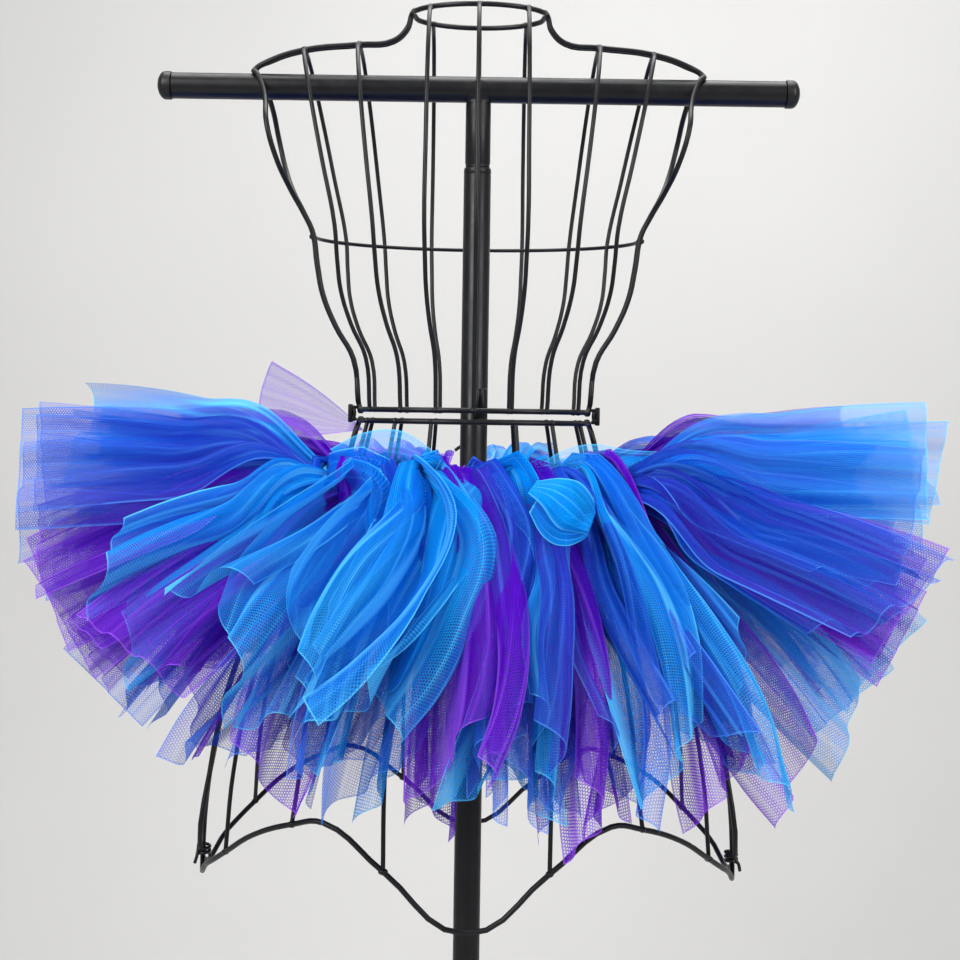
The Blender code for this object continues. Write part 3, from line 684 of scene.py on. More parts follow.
def piece(name, mesh, finish, *nodes):
    """A finished piece that rides on the part's one body and stands for its solids."""
    made = bpy.data.objects.new(name, mesh)
    bpy.context.scene.collection.objects.link(made)
    mesh.materials.clear()
    mesh.materials.append(FINISHES[finish])
    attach(made, "root")
    if nodes:
        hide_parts(*nodes)
    return made


def mesh_of(shape, name):
    """A mesh with smooth faces. Edges that aren't smooth in the shape stay sharp."""
    for face in shape.faces:
        face.smooth = True
    mesh = bpy.data.meshes.new(name)
    shape.to_mesh(mesh)
    shape.free()
    return mesh


def edges_of(shape, verts):
    """The edges between some of a shape's corners, in the shape's own order."""
    own = set(verts)
    return [edge for edge in shape.edges if own.issuperset(edge.verts)]


def hermite(rows, at, column):
    """The value of a column at a place along the first column, on a smooth curve through the rows."""
    places = [row[0] for row in rows]
    step = 1 if places[-1] > places[0] else -1
    last = len(rows) - 1
    low = 0
    while low < last - 1 and (at - places[low + 1]) * step > 0:
        low += 1
    before, after = max(low - 1, 0), min(low + 2, last)
    width = places[low + 1] - places[low]
    t = (at - places[low]) / width
    start, end = rows[low][column], rows[low + 1][column]
    slope_in = (end - rows[before][column]) / (places[low + 1] - places[before]) * width
    slope_out = (rows[after][column] - start) / (places[after] - places[low]) * width
    return (
        (2 * t**3 - 3 * t**2 + 1) * start
        + (t**3 - 2 * t**2 + t) * slope_in
        + (3 * t**2 - 2 * t**3) * end
        + (t**3 - t**2) * slope_out
    )


def linear(rows, at, column):
    """The value of a column at a place, on straight lines between rows whose first column goes down."""
    for upper, lower in zip(rows, rows[1:]):
        if at >= lower[0]:
            share = (upper[0] - at) / (upper[0] - lower[0])
            return upper[column] + share * (lower[column] - upper[column])
    return rows[-1][column]


def ripple(index, seed):
    """A fixed uneven number from -1 to 1."""
    return math.sin(index * 2.399 + seed * 1.71) * 0.6 + math.sin(index * 5.13 + seed) * 0.4


def depth_at(x, half_width, half_depth):
    inside = max(0.0, 1 - (x / half_width) ** 2)
    return max(HALF_GAP, half_depth * math.sqrt(inside))


def half_ring(half_width, half_depth, z, face, places):
    """Points of a half ring from -X to +X. The face is -1 for the front and 1 for the back."""
    right = []
    for x in (half_width, *places):
        right.append((x, face * depth_at(x, half_width, half_depth), z))
    left = [(-x, y, z) for x, y, z in right]
    return left + list(reversed(right[:-1]))


def bodice_side(face):
    points = []
    for x, z in SHOULDER_LINE:
        points.append((x, face * HALF_GAP, z))
    over_bar = BAR_RADIUS + OUTLINE_WIRE + 3 * TOUCH
    for degrees, x in SHOULDER_TURN:
        turn = math.radians(degrees)
        points.append((x, face * over_bar * math.sin(turn), BAR_Z + over_bar * math.cos(turn)))
    for x, y, z in ARMHOLE_LINE:
        points.append((x, face * y, z))
    for z, half_width, _, _ in BODICE_LEVELS[:-1]:
        points.append((half_width, face * HALF_GAP, z))
    return points


def mirrored(points):
    return [(-x, y, z) for x, y, z in reversed(points)]


def bodice_outline(face):
    neck = half_ring(NECK_HALF_WIDTH, NECK_HALF_DEPTH, NECK_Z, face, NECK_PLACES)
    _, half_width, front, back = BODICE_LEVELS[-1]
    depth = front if face < 0 else back
    waist = half_ring(half_width, depth, WAIST_TOP_Z, face, WAIST_TOP_PLACES)
    side = bodice_side(face)
    return neck + side + list(reversed(waist)) + mirrored(side)


def bodice_rib(row, face):
    top_x, bust_x, waist_x = row
    column = 2 if face < 0 else 3
    bust_depth = depth_at(bust_x, BODICE_LEVELS[0][1], BODICE_LEVELS[0][column])
    if abs(top_x) < NECK_HALF_WIDTH:
        top_z = NECK_Z
        top_depth = depth_at(top_x, NECK_HALF_WIDTH, NECK_HALF_DEPTH)
    else:
        top_z = hermite(SHOULDER_LINE, abs(top_x), 1)
        top_depth = HALF_GAP
    points = []
    for share in CHEST_SHARES:
        z = BUST_Z + (top_z - BUST_Z) * share
        out = math.sqrt(1 - share**CHEST_ROUND)
        y = top_depth + (bust_depth - top_depth) * out
        points.append((bust_x + (top_x - bust_x) * share, face * y, z))
    for level in BODICE_LEVELS:
        share = (BUST_Z - level[0]) / (BUST_Z - WAIST_TOP_Z)
        first = bust_x / BODICE_LEVELS[0][1]
        last = waist_x / BODICE_LEVELS[-1][1]
        x = level[1] * (first + (last - first) * share)
        points.append((x, face * depth_at(x, level[1], level[column]), level[0]))
    return points


def hip_outline(face):
    _, half_width, half_depth = HIP_LEVELS[0]
    waist = half_ring(half_width, half_depth, WAIST_LOW_Z, face, WAIST_LOW_PLACES)
    side = [(half_width, face * HALF_GAP, z) for z, half_width, _ in HIP_LEVELS[1:-1]]
    hem = []
    for x, z in HEM_LINE:
        hem.append((x, face * depth_at(x, HEM_HALF_WIDTH, HEM_HALF_DEPTH), z))
    return waist + side + hem + mirrored(hem[:-1]) + mirrored(side)


def hip_rib(row, face):
    waist_x, hem_x = row
    foot_z = linear(HEM_LINE, abs(hem_x), 1)
    points = []
    for z, half_width, half_depth in HIP_LEVELS:
        if z < foot_z + RIB_FOOT:
            break
        share = (WAIST_LOW_Z - z) / (WAIST_LOW_Z - foot_z)
        first, last = waist_x / HIP_LEVELS[0][1], hem_x / HEM_HALF_WIDTH
        x = half_width * (first + (last - first) * share)
        points.append((x, face * depth_at(x, half_width, half_depth), z))
    foot_y = depth_at(hem_x, HEM_HALF_WIDTH, HEM_HALF_DEPTH)
    points.append((hem_x, face * foot_y, foot_z))
    return points


def wire_piece(name, wires, node, welded=True):
    """Round bent wires as one piece. Each wire is its points, its radius and whether it closes."""
    curve = bpy.data.curves.new(name, "CURVE")
    curve.dimensions = "3D"
    curve.bevel_depth = OUTLINE_WIRE
    curve.bevel_resolution = 4
    curve.resolution_u = 5
    curve.use_fill_caps = True
    welds = []
    for points, radius, closed in wires:
        spline = curve.splines.new("BEZIER")
        spline.bezier_points.add(len(points) - 1)
        for knot, place in zip(spline.bezier_points, points):
            knot.co = place
            knot.radius = radius / OUTLINE_WIRE
            knot.handle_left_type = "AUTO"
            knot.handle_right_type = "AUTO"
        spline.use_cyclic_u = closed
        if welded and not closed:
            welds += [points[0], points[-1]]
    guide = bpy.data.objects.new(name, curve)
    bpy.context.scene.collection.objects.link(guide)
    bpy.context.view_layer.update()
    bent = bpy.data.meshes.new_from_object(guide.evaluated_get(bpy.context.evaluated_depsgraph_get()))
    bpy.data.objects.remove(guide, do_unlink=True)
    bpy.data.curves.remove(curve)
    shape = bmesh.new()
    shape.from_mesh(bent)
    bpy.data.meshes.remove(bent)
    for number, place in enumerate(welds):
        # A small uneven bead of weld where a rib meets the outline.
        bead = bmesh.ops.create_icosphere(shape, subdivisions=2, radius=OUTLINE_WIRE * 1.28)
        size = (1.25 + 0.15 * ripple(number, 1.0), 1.0, 0.95 + 0.12 * ripple(number, 5.0))
        bmesh.ops.scale(shape, vec=size, verts=bead["verts"])
        bmesh.ops.translate(shape, vec=place, verts=bead["verts"])
    piece(name, mesh_of(shape, name), "black steel", node)


def build_form():
    for side, face in (("front", -1), ("back", 1)):
        wires = [(bodice_outline(face), OUTLINE_WIRE, True)]
        wires += [(bodice_rib(row, face), RIB_WIRE, False) for row in BODICE_RIBS]
        if face > 0:
            level = BODICE_LEVELS[0]
            depth = level[3] - BUST_WIRE_INSET
            bust = half_ring(level[1], depth, BUST_Z - BUST_WIRE_DROP, face, BUST_PLACES)
            wires.append((bust, BUST_WIRE, False))
        wire_piece(f"bodice_{side}_wires", wires, f"bodice_{side}")
        wires = [(hip_outline(face), OUTLINE_WIRE, True)]
        wires += [(hip_rib(row, face), RIB_WIRE, False) for row in HIP_RIBS]
        wire_piece(f"hip_{side}_wires", wires, f"hip_{side}")


def turned(profile, steps=72):
    """A round shape from a profile of radius and height."""
    shape = bmesh.new()
    verts = [shape.verts.new((radius, 0.0, z)) for radius, z in profile]
    edges = [shape.edges.new(pair) for pair in zip(verts, verts[1:])]
    bmesh.ops.spin(
        shape,
        geom=verts + edges,
        cent=(0.0, 0.0, 0.0),
        axis=(0.0, 0.0, 1.0),
        angle=2 * math.pi,
        steps=steps,
        use_merge=True,
    )
    bmesh.ops.remove_doubles(shape, verts=shape.verts, dist=0.00002)
    bmesh.ops.recalc_face_normals(shape, faces=shape.faces)
    return shape


def hard_piece(name, shape, finish, node, degrees=35.0):
    """A piece with smooth faces, whose corners sharper than an angle stay sharp."""
    shape.normal_update()
    for edge in shape.edges:
        if len(edge.link_faces) == 2 and edge.calc_face_angle() > math.radians(degrees):
            edge.smooth = False
    piece(name, mesh_of(shape, name), finish, node)


def build_stand():
    edge = BASE_EDGE
    top = BASE_HEIGHT
    socket_top = top + SOCKET_HEIGHT
    plate = turned(
        (
            (0.0, socket_top),
            (SOCKET_RADIUS - edge, socket_top),
            (SOCKET_RADIUS, socket_top - edge),
            (SOCKET_RADIUS, top + 0.003),
            (SOCKET_RADIUS + 0.001, top + 0.001),
            (SOCKET_RADIUS + 0.003, top),
            (BASE_RADIUS - edge, top),
            (BASE_RADIUS - 0.3 * edge, top - 0.3 * edge),
            (BASE_RADIUS, top - edge),
            (BASE_RADIUS, 0.0),
            (0.0, 0.0),
        ),
        96,
    )
    hard_piece("round_base", plate, "black steel", "base_plate")

    foot, seam = socket_top + TOUCH, POLE_SEAM_Z
    tube = turned(
        (
            (0.0, seam),
            (UPPER_POLE_RADIUS - 0.001, seam),
            (POLE_RADIUS - 0.0016, seam - 0.0002),
            (POLE_RADIUS - 0.0005, seam - 0.0009),
            (POLE_RADIUS, seam - 0.0024),
            (POLE_RADIUS, seam - 0.006),
            (POLE_RADIUS - 0.0004, seam - 0.0068),
            (POLE_RADIUS, seam - 0.0076),
            (POLE_RADIUS, foot),
            (0.0, foot),
        )
    )
    hard_piece("pole_tube", tube, "black steel", "pole")

    bar_low = BAR_Z - BAR_RADIUS
    start = seam + TOUCH
    neck = turned(
        (
            (0.0, bar_low - TOUCH),
            (UPPER_POLE_RADIUS - 0.0004, bar_low - TOUCH),
            (UPPER_POLE_RADIUS, bar_low - 0.002),
            (UPPER_POLE_RADIUS, start + 0.004),
            (UPPER_POLE_RADIUS - 0.0006, start + 0.0028),
            (UPPER_POLE_RADIUS - 0.0006, start),
            (0.0, start),
        )
    )
    # The tube's end is pressed flat in front and lies on the bar as a rounded tongue.
    tongue = bmesh.ops.create_grid(neck, x_segments=16, y_segments=18, size=1.0)["verts"]
    for vert in tongue:
        across, up = vert.co.x, (vert.co.y + 1) / 2
        round_top = math.sqrt(max(0.0, 1 - max(0.0, (up - 0.55) / 0.45) ** 2))
        half = UPPER_POLE_RADIUS * (0.97 - 0.22 * up) * (0.25 + 0.75 * round_top)
        x = across * half
        z = bar_low - 0.016 + 0.036 * up
        on_tube = math.sqrt(max(0.0, (UPPER_POLE_RADIUS + 0.0004) ** 2 - x * x))
        reach = max(0.0, 1 - ((z - BAR_Z) / (BAR_RADIUS + 0.0015)) ** 2)
        on_bar = (BAR_RADIUS + 0.0015) * math.sqrt(reach)
        share = min(1.0, max(0.0, (up - 0.25) / 0.35))
        share = share * share * (3 - 2 * share)
        y = on_tube + (max(on_bar, on_tube * 0.8) - on_tube) * share
        vert.co = (x, -y, z)
    bmesh.ops.recalc_face_normals(neck, faces=neck.faces)
    hard_piece("pole_neck", neck, "black steel", "upper_pole", 50.0)

    half = BAR_LENGTH / 2
    bar = turned(
        (
            (0.0, half),
            (BAR_RADIUS - 0.0008, half),
            (BAR_RADIUS, half - 0.0008),
            (BAR_RADIUS, -half + 0.0008),
            (BAR_RADIUS - 0.0008, -half),
            (0.0, -half),
        )
    )
    lay_along_x(bar, 1, (0.0, 0.0, BAR_Z))
    hard_piece("shoulder_bar", bar, "black steel", "cross_bar")
    for node, side in (("bar_cap_left", -1), ("bar_cap_right", 1)):
        profile = [(0.0, CAP_LENGTH)]
        for degrees in range(80, -1, -10):
            turn = math.radians(degrees)
            profile.append((CAP_RADIUS * math.cos(turn), CAP_LENGTH * (0.42 + 0.58 * math.sin(turn))))
        profile += [(CAP_RADIUS, 0.0006), (CAP_RADIUS - 0.0005, 0.0), (0.0, 0.0)]
        cap = turned(profile)
        lay_along_x(cap, side, (side * (half + TOUCH), 0.0, BAR_Z))
        hard_piece(f"{node}_dome", cap, "black plastic", node)


def add_plate(shape, size, centre, edge):
    """A flat steel piece with rounded edges."""
    plate = bmesh.ops.create_cube(shape, size=1.0)["verts"]
    bmesh.ops.scale(shape, vec=size, verts=plate)
    bmesh.ops.translate(shape, vec=centre, verts=plate)
    bmesh.ops.bevel(
        shape,
        geom=edges_of(shape, plate),
        offset=edge,
        segments=3,
        affect="EDGES",
        profile=0.5,
        material=-1,
        clamp_overlap=True,
    )


def add_rod(shape, start, end, radius, sides=20):
    """A round rod with softly rounded ends."""
    start, end = Vector(start), Vector(end)
    way = end - start
    rod = bmesh.ops.create_cone(
        shape, cap_ends=True, segments=sides, radius1=radius, radius2=radius, depth=way.length
    )["verts"]
    before = set(shape.verts).difference(rod)
    rims = [edge for edge in edges_of(shape, rod) if abs(edge.verts[0].co.z - edge.verts[1].co.z) < LEVEL]
    bmesh.ops.bevel(
        shape, geom=rims, offset=radius * 0.35, segments=2, affect="EDGES", profile=0.5, material=-1
    )
    verts = [vert for vert in shape.verts if vert not in before]
    bmesh.ops.rotate(shape, verts=verts, matrix=way.to_track_quat("Z", "Y").to_matrix())
    bmesh.ops.translate(shape, verts=verts, vec=(start + end) / 2)


def build_fittings():
    """The hooks at the waist, the twisted wire at the hem, and the clip and pin on the pole."""
    for node, side in (("waist_clamp_left", -1), ("waist_clamp_right", 1)):
        low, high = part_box(node)
        centre = (Vector(low) + Vector(high)) / 2
        wide, deep, tall = (Vector(high) - Vector(low))
        shape = bmesh.new()
        add_plate(shape, (HOOK_WALL, deep, tall), centre + Vector((side * 0.0019, 0, 0)), 0.0012)
        for lift in (-0.33, 0.33):
            # The two lips that hook over the wires of the waist.
            lip = centre + Vector((-side * 0.0010, 0, lift * tall))
            add_plate(shape, (wide * 0.75, deep * 0.9, HOOK_LIP), lip, 0.0009)
        bolt = (centre + Vector((-side * 0.0036, 0, 0)), centre + Vector((side * 0.0044, 0, 0)))
        add_rod(shape, *bolt, BOLT_RADIUS, 6)
        foot = centre + Vector((-side * 0.0022, -deep * 0.35, -tall * 0.40))
        head = centre + Vector((-side * 0.0022, -deep * 0.35, tall * 0.30))
        add_rod(shape, foot, head, HOOK_ROD)
        hard_piece(node.replace("clamp", "hook"), shape, "black steel", node, 40.0)
    for node, side in (("hem_clamp_left", -1), ("hem_clamp_right", 1)):
        low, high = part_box(node)
        centre = (Vector(low) + Vector(high)) / 2
        twist = []
        for step in range(31):
            turn = 2 * math.pi * step / 12
            rise = TWIST_HEIGHT * (step / 30 - 0.5)
            x = centre.x + TWIST_TURN[0] * math.cos(turn)
            twist.append((x, TWIST_TURN[1] * math.sin(turn), centre.z + rise))
        tail = [twist[-1], (centre.x + side * 0.006, -0.0060, centre.z - 0.004)]
        tail.append((centre.x + side * 0.0085, -0.0052, centre.z - 0.0125))
        wires = [(twist, TWIST_WIRE, False), (tail, TWIST_WIRE, False)]
        wire_piece(node.replace("clamp", "twist"), wires, node, welded=False)
    low, high = (Vector(corner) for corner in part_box("pole_bracket"))
    centre, size = (low + high) / 2, high - low
    shape = bmesh.new()
    add_plate(shape, (size.x, size.y * 0.5, size.z * 0.94), centre + Vector((0, size.y * 0.24, 0)), 0.0011)
    for across, lean in ((-0.26, 0.10), (0.26, -0.12)):
        # Two bent fingers that grip the ring of the waist.
        foot = centre + Vector((size.x * across, -size.y * 0.22, -size.z * 0.44))
        top = centre + Vector((size.x * (across + lean), -size.y * 0.22, size.z * 0.44))
        add_rod(shape, foot, top, CLIP_FINGER)
    bolt = centre + Vector((0, -size.y * 0.10, size.z * 0.26))
    add_rod(shape, bolt, bolt + Vector((0, -size.y * 0.36, 0)), BOLT_RADIUS, 6)
    hard_piece("pole_clip", shape, "black steel", "pole_bracket", 40.0)
    low, high = (Vector(corner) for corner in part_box("pole_pin"))
    depth = (low.y + high.y) / 2
    shape = bmesh.new()
    start = (low.x + 0.0012, depth, low.z + 0.0014)
    end = (high.x - 0.0012, depth, high.z - 0.0014)
    add_rod(shape, start, end, PIN_RADIUS)
    hard_piece("locking_pin", shape, "black steel", "pole_pin", 40.0)


def lay_along_x(shape, side, place):
    """Turns an upright round shape so that its top points along X, and puts it in its place."""
    bmesh.ops.rotate(shape, verts=shape.verts, matrix=Matrix.Rotation(side * math.pi / 2, 3, "Y"))
    bmesh.ops.translate(shape, verts=shape.verts, vec=place)


def band_ring(z):
    """Half width and half depth of the band's outer face at a height."""
    out = BAND_CLEAR + BAND_WALL
    return linear(HIP_LEVELS, z, 1) + out, linear(HIP_LEVELS, z, 2) + out


def build_band():
    """The ribbon, with soft cross ripples where the elastic draws it in."""
    shape = bmesh.new()
    cut = shape.loops.layers.uv.new("cut")
    for level in range(BAND_LEVELS + 1):
        z = BAND_TOP_Z + (BAND_LOW_Z - BAND_TOP_Z) * level / BAND_LEVELS
        half_width, half_depth = band_ring(z)
        for vert in bmesh.ops.create_circle(shape, segments=BAND_SIDES, radius=1.0)["verts"]:
            turn = math.atan2(vert.co.y, vert.co.x)
            pull = 0.0005 * math.sin(turn * 76) + 0.0003 * math.sin(turn * 33 + 1.0) - BAND_WALL / 2
            vert.co = ((half_width + pull) * math.cos(turn), (half_depth + pull) * math.sin(turn), z)
    bmesh.ops.bridge_loops(shape, edges=shape.edges[:])
    bmesh.ops.recalc_face_normals(shape, faces=shape.faces)
    for face in shape.faces:
        middle = math.atan2(face.calc_center_median().y, face.calc_center_median().x)
        for loop in face.loops:
            turn = math.atan2(loop.vert.co.y, loop.vert.co.x)
            if turn - middle > math.pi:
                turn -= 2 * math.pi
            if middle - turn > math.pi:
                turn += 2 * math.pi
            loop[cut].uv = (turn * 0.125, BAND_TOP_Z - loop.vert.co.z)
    band = piece("ribbon_waistband", mesh_of(shape, "ribbon_waistband"), "navy ribbon", "waistband")
    wall = band.modifiers.new("ribbon", "SOLIDIFY")
    wall.thickness = RIBBON_WALL
    wall.offset = 0.0


def lift_at(bearing, column):
    """A column of the lift table at any bearing, on a smooth closed curve."""
    rows = [(row[0] - 360.0, *row[1:]) for row in LIFT[-2:]]
    rows += list(LIFT)
    rows += [(row[0] + 360.0, *row[1:]) for row in LIFT[:3]]
    return hermite(rows, bearing % 360.0, column)


def uneven(key, name):
    """The uneven part of one size of a tail."""
    most, seed = UNEVEN[name]
    return most * ripple(key, seed)


def pointed(key, most):
    """How far one corner of a tail's cut end is longer than the other, to the one side or the other."""
    part = uneven(key, "point")
    return math.copysign(most, part) + part


def band_place(bearing, z, out=0.0):
    """A point in front of the band, with the directions out from it and along it."""
    turn = math.radians(bearing)
    half_width, half_depth = band_ring(z)
    along = Vector((half_width * math.cos(turn), half_depth * math.sin(turn), 0.0)).normalized()
    outward = Vector((along.y, -along.x, 0.0))
    place = Vector((half_width * math.sin(turn), -half_depth * math.cos(turn), z))
    return place + outward * out, outward, along


def tail_form(number, side):
    """The sizes of one tail of a knot. Two strips are laid together, so sides 2 and 3 are the under ones."""
    tier = number % TIERS
    key = 2 * number + side + 31 * (side // 2)
    hand = 1 if side % 2 else -1
    bearing = FIRST_BEARING + number * 360.0 / STRIP_COUNT
    tip = bearing + hand * (UNDER_SIDE if side > 1 else TAIL_SIDE) + uneven(key, "tip")
    step = TAIL_STEP * (1 if (number + side) % 2 else -1)
    rise = lift_at(tip, 1 + tier) + step + uneven(key, "rise")
    if side > 1:
        rise -= UNDER_DROP + UNDER_FRONT_DROP * max(0.0, math.cos(math.radians(tip)))
    near, far = lift_at(tip - 5.0, 1 + tier), lift_at(tip + 5.0, 1 + tier)
    turn = math.radians(tip)
    sideways = abs(math.sin(turn))
    # The broad side of a tail at the skirt's side faces the front, and behind it the back.
    facing = math.copysign(1.0, math.sin(turn)) * (1 if math.cos(turn) > -0.3 else -1)
    roll = math.degrees(math.atan((far - near) / 10.0)) * 0.8
    roll += facing * SIDE_ROLL * sideways**0.7 + uneven(key, "roll")
    length = lift_at(tip, 4) * (0.985 + uneven(key, "length"))
    spread = (FRONT_SPREAD + (SIDE_SPREAD - FRONT_SPREAD) * sideways**2) * (1 + uneven(key, "spread"))
    drop = math.degrees(0.5 * spread * abs(math.sin(math.radians(roll))) / length)
    rise -= drop * TIER_DROP[tier]
    form = {
        "root": bearing + hand * KNOT_TURN,
        "tip": tip,
        "root_z": ROOT_Z + (0.004 if step > 0 else -0.003),
        "rise": rise,
        "bend": TIER_BEND[tier] + uneven(key, "bend"),
        "length": length,
        "spread": spread,
        "folds": FOLDS + uneven(key, "folds"),
        "flat": FLATNESS + uneven(key, "flat"),
        "depth": FOLD_DEPTH + uneven(key, "depth"),
        "fine": FINE_DEPTH,
        "roll": roll,
        "twist": (SIDE_TWIST + FRONT_TWIST * (1 - sideways)) * ripple(key, 11.0),
        "slant": uneven(key, "slant"),
        "seed": key,
    }
    ahead = math.cos(turn)
    form["arch"] = TIER_ARCH[tier] * (1.0 if ahead > -0.5 else BACK_ARCH)
    if ahead < -0.5:
        form["fine"] = BACK_FINE_DEPTH
    if side > 1 and ahead > 0.4:
        # The under tails in front hang steeper, with pointed ends.
        form.update(folds=UNDER_FOLDS + uneven(key, "under folds"), flat=1.0, depth=UNDER_DEPTH)
        form.update(slant=pointed(key, UNDER_POINT), spread=UNDER_SPREAD * (1 + uneven(key, "under spread")))
        form["rise"] -= UNDER_STEEPER * ahead
        form["length"] *= UNDER_LENGTH
    if (number, side) in TAIL_PATHS:
        path = [(x, y, depth / 1000, width / 1000) for x, y, depth, width in TAIL_PATHS[number, side]]
        point = pointed(key, PATH_POINT) * min(1.0, POINTED_WIDTH / path[-1][3])
        form.update(path=path, roll=uneven(key, "path roll"), twist=uneven(key, "path twist"), slant=point)
        form.update(folds=PATH_FOLDS + uneven(key, "path folds"), flat=1.0, depth=PATH_DEPTH)
        form["fine"] = PATH_FINE_DEPTH
    return form


def spread_at(form, share):
    """Width of the gathered tail between its side edges at a share of its length."""
    opened = (1 - math.exp(-OPENING * share)) / (1 - math.exp(-OPENING))
    return KNOT_SPREAD + (form["spread"] - KNOT_SPREAD) * opened


def gathered_section(form, share, spread):
    """Side place, height, stand on edge and layers of the net across a tail.

    The net isn't stretched: its folds swing until its side edges are as far apart as they have to be.
    """
    seed = form["seed"]
    fine = form["fine"] * max(0.0, 1 - share / 0.7)
    drift = 0.10 * math.sin(3.0 * share + seed)
    bends = []
    for column in range(TAIL_COLUMNS):
        s = (column + 0.5) / TAIL_COLUMNS
        place = s + 0.06 * math.sin(2 * math.pi * s + seed) + 0.03 * math.sin(4 * math.pi * s + 2.3 * seed)
        wave = math.sin(2 * math.pi * (form["folds"] * place + drift) + 1.3 * seed)
        small = math.sin(2 * math.pi * FINE_FOLDS * s + 2.1 * seed)
        bends.append(math.copysign(abs(wave) ** form["flat"], wave) + fine * small)
    step = CUT_WIDTH / TAIL_COLUMNS
    low, high = 0.0, MOST_SWING
    for _ in range(SWING_STEPS):
        swing = (low + high) / 2
        if step * sum(math.cos(swing * bend) for bend in bends) > spread:
            low = swing
        else:
            high = swing
    places = [(0.0, 0.0)]
    for bend in bends:
        x, y = places[-1]
        places.append((x + step * math.cos(swing * bend), y + step * math.sin(swing * bend)))
    middle_x = places[-1][0] / 2
    middle_y = sum(y for _, y in places) / len(places)
    highest = max(abs(y - middle_y) for _, y in places)
    squeeze = min(1.0, (KNOT_FOLD_DEPTH + form["depth"] * min(1.0, 2.5 * share)) / highest)
    turns = [abs(swing * bend) for bend in bends]
    turns = [turns[0], *turns, turns[-1]]
    section = []
    for column, (x, y) in enumerate(places):
        turn = (turns[column] + turns[column + 1]) / 2
        flat, steep = abs(math.cos(turn)), squeeze * abs(math.sin(turn))
        on_edge = steep / math.hypot(flat, steep)
        layers = (1 + 0.6 * (1 / squeeze - 1)) / (0.35 + 0.65 * math.sqrt(1 - on_edge**2))
        section.append((x - middle_x, (y - middle_y) * squeeze, on_edge, min(MOST_LAYERS, layers)))
    return section


def seen(x, y, depth):
    """The place at a depth that the front view shows at a picture point."""
    view = bpy.context.scene.camera.matrix_world
    focal = CAMERA_LENS / SENSOR * PICTURE
    way = view.to_3x3() @ Vector(((x - PICTURE / 2) / focal, (PICTURE / 2 - y) / focal, -1.0))
    return view.translation + way * ((depth - view.translation.y) / way.y)


def placed_line(form):
    """The rows of a front tail, along the smooth line through its knot and its seen points."""
    root, outward, _ = band_place(form["root"], form["root_z"], ROOT_OUT)
    up = SHOULDER_RISE * (1 + uneven(form["seed"], "crest"))
    crest = root + outward * SHOULDER_OUT + Vector((0, 0, up))
    knots = [(0.0, *root, KNOT_SPREAD), ((crest - root).length, *crest, 2.4 * KNOT_SPREAD)]
    for x, y, depth, width in form["path"]:
        place = seen(x, y, depth)
        far = (place - Vector(knots[-1][1:4])).length
        knots.append((knots[-1][0] + far, *place, width))
    last = knots[-1][0]
    knots = [(far / last, *rest) for far, *rest in knots]
    camera = bpy.context.scene.camera.matrix_world.translation
    places = []
    for row in range(TAIL_ROWS + 1):
        share = row / TAIL_ROWS
        places.append(Vector([hermite(knots, share, column) for column in (1, 2, 3)]))
    line = []
    for row, place in enumerate(places):
        share = row / TAIL_ROWS
        forward = (places[min(row + 1, TAIL_ROWS)] - places[max(row - 1, 0)]).normalized()
        sideways = forward.cross(place - camera).normalized()
        line.append((place, forward, sideways, sideways.cross(forward) * -1, hermite(knots, share, 4)))
    form["length"] = last
    return line


def tail_line(form):
    """Place, way on, sideways way, way up from the net and width of each row of a tail."""
    if "path" in form:
        return placed_line(form)
    root, outward, _ = band_place(form["root"], form["root_z"], ROOT_OUT)
    turn = math.radians(form["tip"])
    away = Vector((math.sin(turn), -math.cos(turn), 0.0))
    place = root.copy()
    line = []
    for row in range(TAIL_ROWS + 1):
        share = row / TAIL_ROWS
        slope = math.radians(form["rise"] + form["bend"] * (0.5 - share))
        turned_out = min(1.0, share * 3.0)
        heading = (outward * (1 - turned_out) + away * turned_out).normalized()
        forward = heading * math.cos(slope) + Vector((0, 0, math.sin(slope)))
        if row:
            place = place + forward * (form["length"] / TAIL_ROWS)
        sideways = Vector((-heading.y, heading.x, 0.0))
        normal = Vector((0, 0, math.cos(slope))) - heading * math.sin(slope)
        hump = form["arch"] * math.sin(math.pi * min(1.0, share / 0.55)) ** 2
        line.append((place + normal * hump, forward, sideways, normal, spread_at(form, share)))
    return line


def tint_at(u, share, seed):
    """How far the net shades into its second colour, in long soft streaks."""
    streak = math.sin(5.0 * u + 1.9 * seed + 0.8 * share) * math.sin(2.6 * share + 0.7 * seed + 2.0 * u)
    return min(1.0, max(0.0, 0.42 + 0.62 * streak))


def crease_at(u, share, seed):
    """An uneven share from 0 to 1 that changes quickly across the net and slowly along it."""
    broad = 0.28 * math.sin(61.0 * u + 2.1 * seed + 1.5 * share)
    narrow = 0.22 * math.sin(107.0 * u + 1.3 * seed - 2.2 * share)
    return 0.5 + (broad + narrow) * (1 - 0.35 * math.sin(5.0 * share + seed) ** 2)


